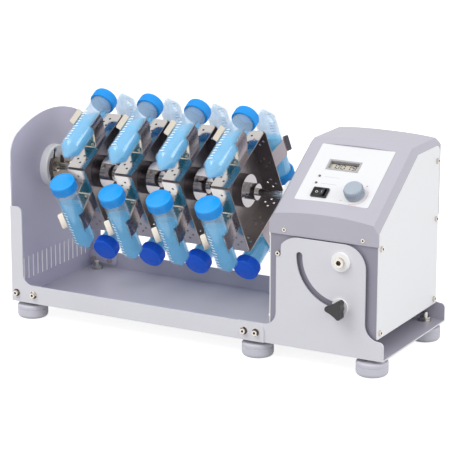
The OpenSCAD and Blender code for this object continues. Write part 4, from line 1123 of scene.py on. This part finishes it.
class ROTATOR_OT_liquid(Maker):
    """Makes the liquid in the tubes, level as it lies at rest"""

    bl_idname = "rotator.liquid"
    bl_label = "Liquid"

    def make(self, scene):
        bm = bmesh.new()
        for flange in range(FLANGES):
            first = flange_matrix(0, flange)
            mesh = liquid_body(first, scene.rotator_rotor.air)
            for index in range(len(FRAME_NODES)):
                copy = mesh.copy()
                step = flange_matrix(index, flange).translation - first.translation
                copy.transform(Matrix.Translation(step))
                bm.from_mesh(copy)
                bpy.data.meshes.remove(copy)
        piece = put_in_scene("tube_liquid", mesh_of(bm, "tube_liquid"))
        painted(piece, ["liquid"])
        smooth(piece.data, 30)
        seated(piece, "rotor", "tube_clear")


def curved_patch(name, radius, width, height, thickness, steps=3):
    """A thin printed patch on a cylinder about Z, in the middle of its +X side."""
    corners = ((radius, 0), (radius + thickness, 0), (radius + thickness, height), (radius, height))
    angles = [width / radius * (k / steps - 0.5) for k in range(steps + 1)]
    bm = bmesh.new()
    loft(bm, [[(r * math.cos(angle), r * math.sin(angle), z) for r, z in corners] for angle in angles])
    return mesh_of(bm, name, closed=True)


class ROTATOR_OT_graduations(Maker):
    """Makes the printed graduation lines of the tubes"""

    bl_idname = "rotator.graduations"
    bl_label = "Graduations"

    def make(self, scene):
        rotor = scene.rotator_rotor
        facing = Matrix.Rotation(MARK_ANGLE, 4, "Z")
        places = []
        for tube in tube_places():
            for k in range(rotor.marks):
                width = 1.5 if k % 5 == 0 else 0.9
                up = Matrix.Translation((0, 0, FIRST_MARK + k * rotor.mark_pitch))
                places.append(tube @ facing @ up @ Matrix.Diagonal((1, width, 1, 1)))
        patch = curved_patch("mark_one", TUBE_RADIUS + 0.02 * MM, 5.2 * MM, 1.3 * MM, 0.1 * MM)
        piece = copies("tube_marks", patch, places, "print_white")
        seated(piece, "rotor", "tube_clear")


SEGMENTS = {"0": "abcdef", "1": "bc", "9": "abcdfg"}


def digit_outlines(text, height, width, pitch, slant=0.12):
    """Seven-segment outlines of a number, from the origin to the right."""
    stroke = height * 0.21
    flat = (width / 2 - stroke * 0.7, stroke / 2)
    upright = (stroke / 2, height / 4 - stroke * 0.4)
    parts = {"a": (width / 2, height, *flat), "g": (width / 2, height / 2, *flat), "d": (width / 2, 0, *flat),
             "f": (0, height * 0.75, *upright), "b": (width, height * 0.75, *upright),
             "e": (0, height * 0.25, *upright), "c": (width, height * 0.25, *upright)}
    return [[(k * pitch + x + slant * y, y) for x, y in bar(*parts[segment])]
            for k, digit in enumerate(text) for segment in SEGMENTS[digit]]


SWITCH_PLACE = panel_matrix(-20.5 * MM, 40 * MM, LABEL_FACE - 2.4 * MM)


def on_panel(name, mesh, material, slot, body="head"):
    """A thin piece on the panel, with its place already in its mesh."""
    piece = put_in_scene(name, mesh)
    painted(piece, [material])
    return seated(piece, body, slot)


def printed(name, outlines, across, up, face, material, slot):
    """A print from outlines at a place on one of the panel's faces."""
    mesh = flat_mesh(name, outlines, FILM)
    mesh.transform(panel_matrix(across, up, face + PRINT_GAP))
    return on_panel(name, mesh, material, slot)


class ROTATOR_OT_prints(Maker):
    """Makes the display's digits, the painted shadow of the bezel over the display and the printed lines of
    the control panel
    """

    bl_idname = "rotator.prints"
    bl_label = "Prints"

    def make(self, scene):
        digits = digit_outlines("0019", 6.8 * MM, 4.8 * MM, 7.6 * MM)
        printed("display_digits", digits, BEZEL_AT.x - 12.8 * MM, BEZEL_AT.y - 2.6 * MM, WINDOW_FACE,
                "lcd_dark", "display")
        # Painted shadow of the bezel along the top of the display window.
        bezel_shadow = [bar(0, 5.3 * MM, 19.5 * MM, 0.9 * MM)]
        printed("display_band", bezel_shadow, BEZEL_AT.x, BEZEL_AT.y, WINDOW_FACE, "lcd_shade", "display")
        printed("knob_scale", self.scale(), KNOB_AT.x, KNOB_AT.y, LABEL_FACE, "print_red", "label_white")
        captions = [bar(lamp.x + 17 * MM, lamp.y - 0.05 * MM, 11 * MM, 0.25 * MM) for lamp in LAMPS_AT]
        printed("lamp_captions", captions, 0, 0, LABEL_FACE, "print_faint", "label_white")
        self.switch_marks()

    @staticmethod
    def scale():
        """Arc at the lower right of the speed knob, a plus and a minus mark."""
        radius, line, steps = 16.2 * MM, 0.4 * MM, 40
        outer = arc_points((0, 0), radius + line, -100, 30, steps)
        inner = arc_points((0, 0), radius, -100, 30, steps)
        pieces = [[outer[k], outer[k + 1], inner[k + 1], inner[k]] for k in range(steps)]
        long, wide = 1.5 * MM, 0.3 * MM
        plus, minus = (arc_points((0, 0), 19 * MM, angle, angle, 1)[0] for angle in (58, 218))
        return pieces + [bar(*plus, long, wide), bar(*plus, wide, long), bar(*minus, long, wide)]

    @staticmethod
    def switch_marks():
        """On and off marks on the rocker's two faces."""
        half, height, dip, rest = 7.25 * MM, 5.6 * MM, 1.6 * MM, math.radians(-8)
        outer = arc_points((0, 0), 1.7 * MM, 0, 360, 24)
        inner = arc_points((0, 0), 1.2 * MM, 0, 360, 24)
        off = [[outer[k], outer[k + 1], inner[k + 1], inner[k]] for k in range(24)]
        on = [bar(0, 0, 0.3 * MM, 1.8 * MM)]
        facet = math.atan(dip / half)
        bm = bmesh.new()
        for outlines, side in ((off, -1), (on, 1)):
            mesh = flat_mesh("mark", outlines, FILM)
            rise = Matrix.Translation((side * half / 2, 0, height - dip / 2 + FILM / 2))
            place = Matrix.Rotation(rest, 4, "Y") @ rise @ Matrix.Rotation(-side * facet, 4, "Y")
            mesh.transform(SWITCH_PLACE @ place)
            bm.from_mesh(mesh)
            bpy.data.meshes.remove(mesh)
        on_panel("switch_marks", mesh_of(bm, "switch_marks"), "print_white", slot_of("switch_rocker"),
                 body_of("switch_rocker"))


class ROTATOR_OT_stage(Maker):
    """Makes the floor, the lamps, the world and the camera"""

    bl_idname = "rotator.stage"
    bl_label = "Stage"

    def make(self, scene):
        stage = scene.rotator_stage
        self.world(scene, stage)
        self.floor()
        self.lamps(scene, stage)
        self.camera(scene, stage)
        scene.view_settings.view_transform = "Standard"

    @staticmethod
    def seen(tree):
        """1 for camera, glossy and transmission rays."""
        rays = tree.add("ShaderNodeLightPath").outputs
        seen = rays["Is Camera Ray"]
        for kind in ("Is Glossy Ray", "Is Transmission Ray"):
            seen = tree.add("ShaderNodeMath", {0: seen, 1: rays[kind]}, operation="MAXIMUM").outputs[0]
        return seen

    def world(self, scene, stage):
        scene.world = bpy.data.worlds.new("studio")
        scene.world.use_nodes = True
        tree = Nodes(scene.world.node_tree)
        fill = tree.add("ShaderNodeBackground", {"Color": FILL_COLOUR, "Strength": stage.fill})
        white = tree.add("ShaderNodeBackground", {"Color": (1, 1, 1, 1), "Strength": 1})
        shares = {"Fac": self.seen(tree), 1: fill.outputs[0], 2: white.outputs[0]}
        mix = tree.add("ShaderNodeMixShader", shares)
        tree.add("ShaderNodeOutputWorld", {0: mix.outputs[0]})

    def floor(self):
        bm = bmesh.new()
        bmesh.ops.create_grid(bm, x_segments=1, y_segments=1, size=6)
        floor = put_in_scene("floor", mesh_of(bm, "floor"))
        material = bpy.data.materials.new("floor_white")
        material.use_nodes = True
        tree = Nodes(material.node_tree)
        diffuse = tree.add("ShaderNodeBsdfDiffuse", {"Color": FLOOR_COLOUR})
        strength = tree.add("ShaderNodeMath", {0: self.seen(tree), 1: FLOOR_GLOW}, operation="MULTIPLY")
        glow = tree.add("ShaderNodeEmission", {"Strength": strength.outputs[0]})
        both = tree.add("ShaderNodeAddShader", {0: diffuse.outputs[0], 1: glow.outputs[0]})
        tree.add("ShaderNodeOutputMaterial", {"Surface": both.outputs[0]})
        floor.data.materials.append(material)

    @staticmethod
    def lamps(scene, stage):
        for name, (place, target, size, share) in LAMPS.items():
            data = bpy.data.lights.new(name, "AREA")
            data.shape = "DISK"
            data.size = size
            data.energy = stage.key * share
            lamp = bpy.data.objects.new(name, data)
            scene.collection.objects.link(lamp)
            lamp.location = place
            lamp.rotation_euler = (Vector(target) - Vector(place)).to_track_quat("-Z", "Y").to_euler()

    @staticmethod
    def camera(scene, stage):
        data = bpy.data.cameras.new("camera")
        data.lens = stage.lens
        data.clip_end = 20
        camera = bpy.data.objects.new("camera", data)
        scene.collection.objects.link(camera)
        turn = Matrix.Rotation(stage.azimuth, 4, "Z") @ Matrix.Rotation(math.pi / 2 - stage.elevation, 4, "X")
        camera.matrix_world = Matrix.Translation(stage.place) @ turn @ Matrix.Rotation(stage.roll, 4, "Z")
        scene.camera = camera


class ROTATOR_PT_panel(bpy.types.Panel):
    """Lists the steps that dress the rotator"""

    bl_idname = "ROTATOR_PT_panel"
    bl_label = "Tube Rotator"
    bl_space_type = "VIEW_3D"
    bl_region_type = "UI"
    bl_category = "Rotator"

    def draw(self, context):
        for group in ("rotator_paint", "rotator_rotor", "rotator_stage"):
            settings = getattr(context.scene, group)
            box = self.layout.box()
            for name in settings.bl_rna.properties.keys():
                if name not in {"rna_type", "name"}:
                    box.prop(settings, name)
        for operator in OPERATORS:
            self.layout.operator(operator.bl_idname)


SETTINGS = {"rotator_paint": RotatorPaint, "rotator_rotor": RotatorRotor, "rotator_stage": RotatorStage}
OPERATORS = (ROTATOR_OT_base, ROTATOR_OT_feet, ROTATOR_OT_base_fittings, ROTATOR_OT_head, ROTATOR_OT_controls,
             ROTATOR_OT_prints, ROTATOR_OT_knobs, ROTATOR_OT_drive, ROTATOR_OT_frames, ROTATOR_OT_caps,
             ROTATOR_OT_tubes, ROTATOR_OT_liquid, ROTATOR_OT_graduations, ROTATOR_OT_stage)


def register():
    for kind in (*SETTINGS.values(), *OPERATORS, ROTATOR_PT_panel):
        bpy.utils.register_class(kind)
    for name, kind in SETTINGS.items():
        setattr(bpy.types.Scene, name, bpy.props.PointerProperty(type=kind))


def unregister():
    for name in SETTINGS:
        delattr(bpy.types.Scene, name)
    for kind in (ROTATOR_PT_panel, *reversed(OPERATORS), *SETTINGS.values()):
        bpy.utils.unregister_class(kind)


def main():
    register()
    scene = bpy.context.scene
    build_materials(scene.rotator_paint, scene.rotator_rotor)
    for operator in OPERATORS:
        group, name = operator.bl_idname.split(".")
        getattr(getattr(bpy.ops, group), name)()


if __name__ == "__main__":
    main()
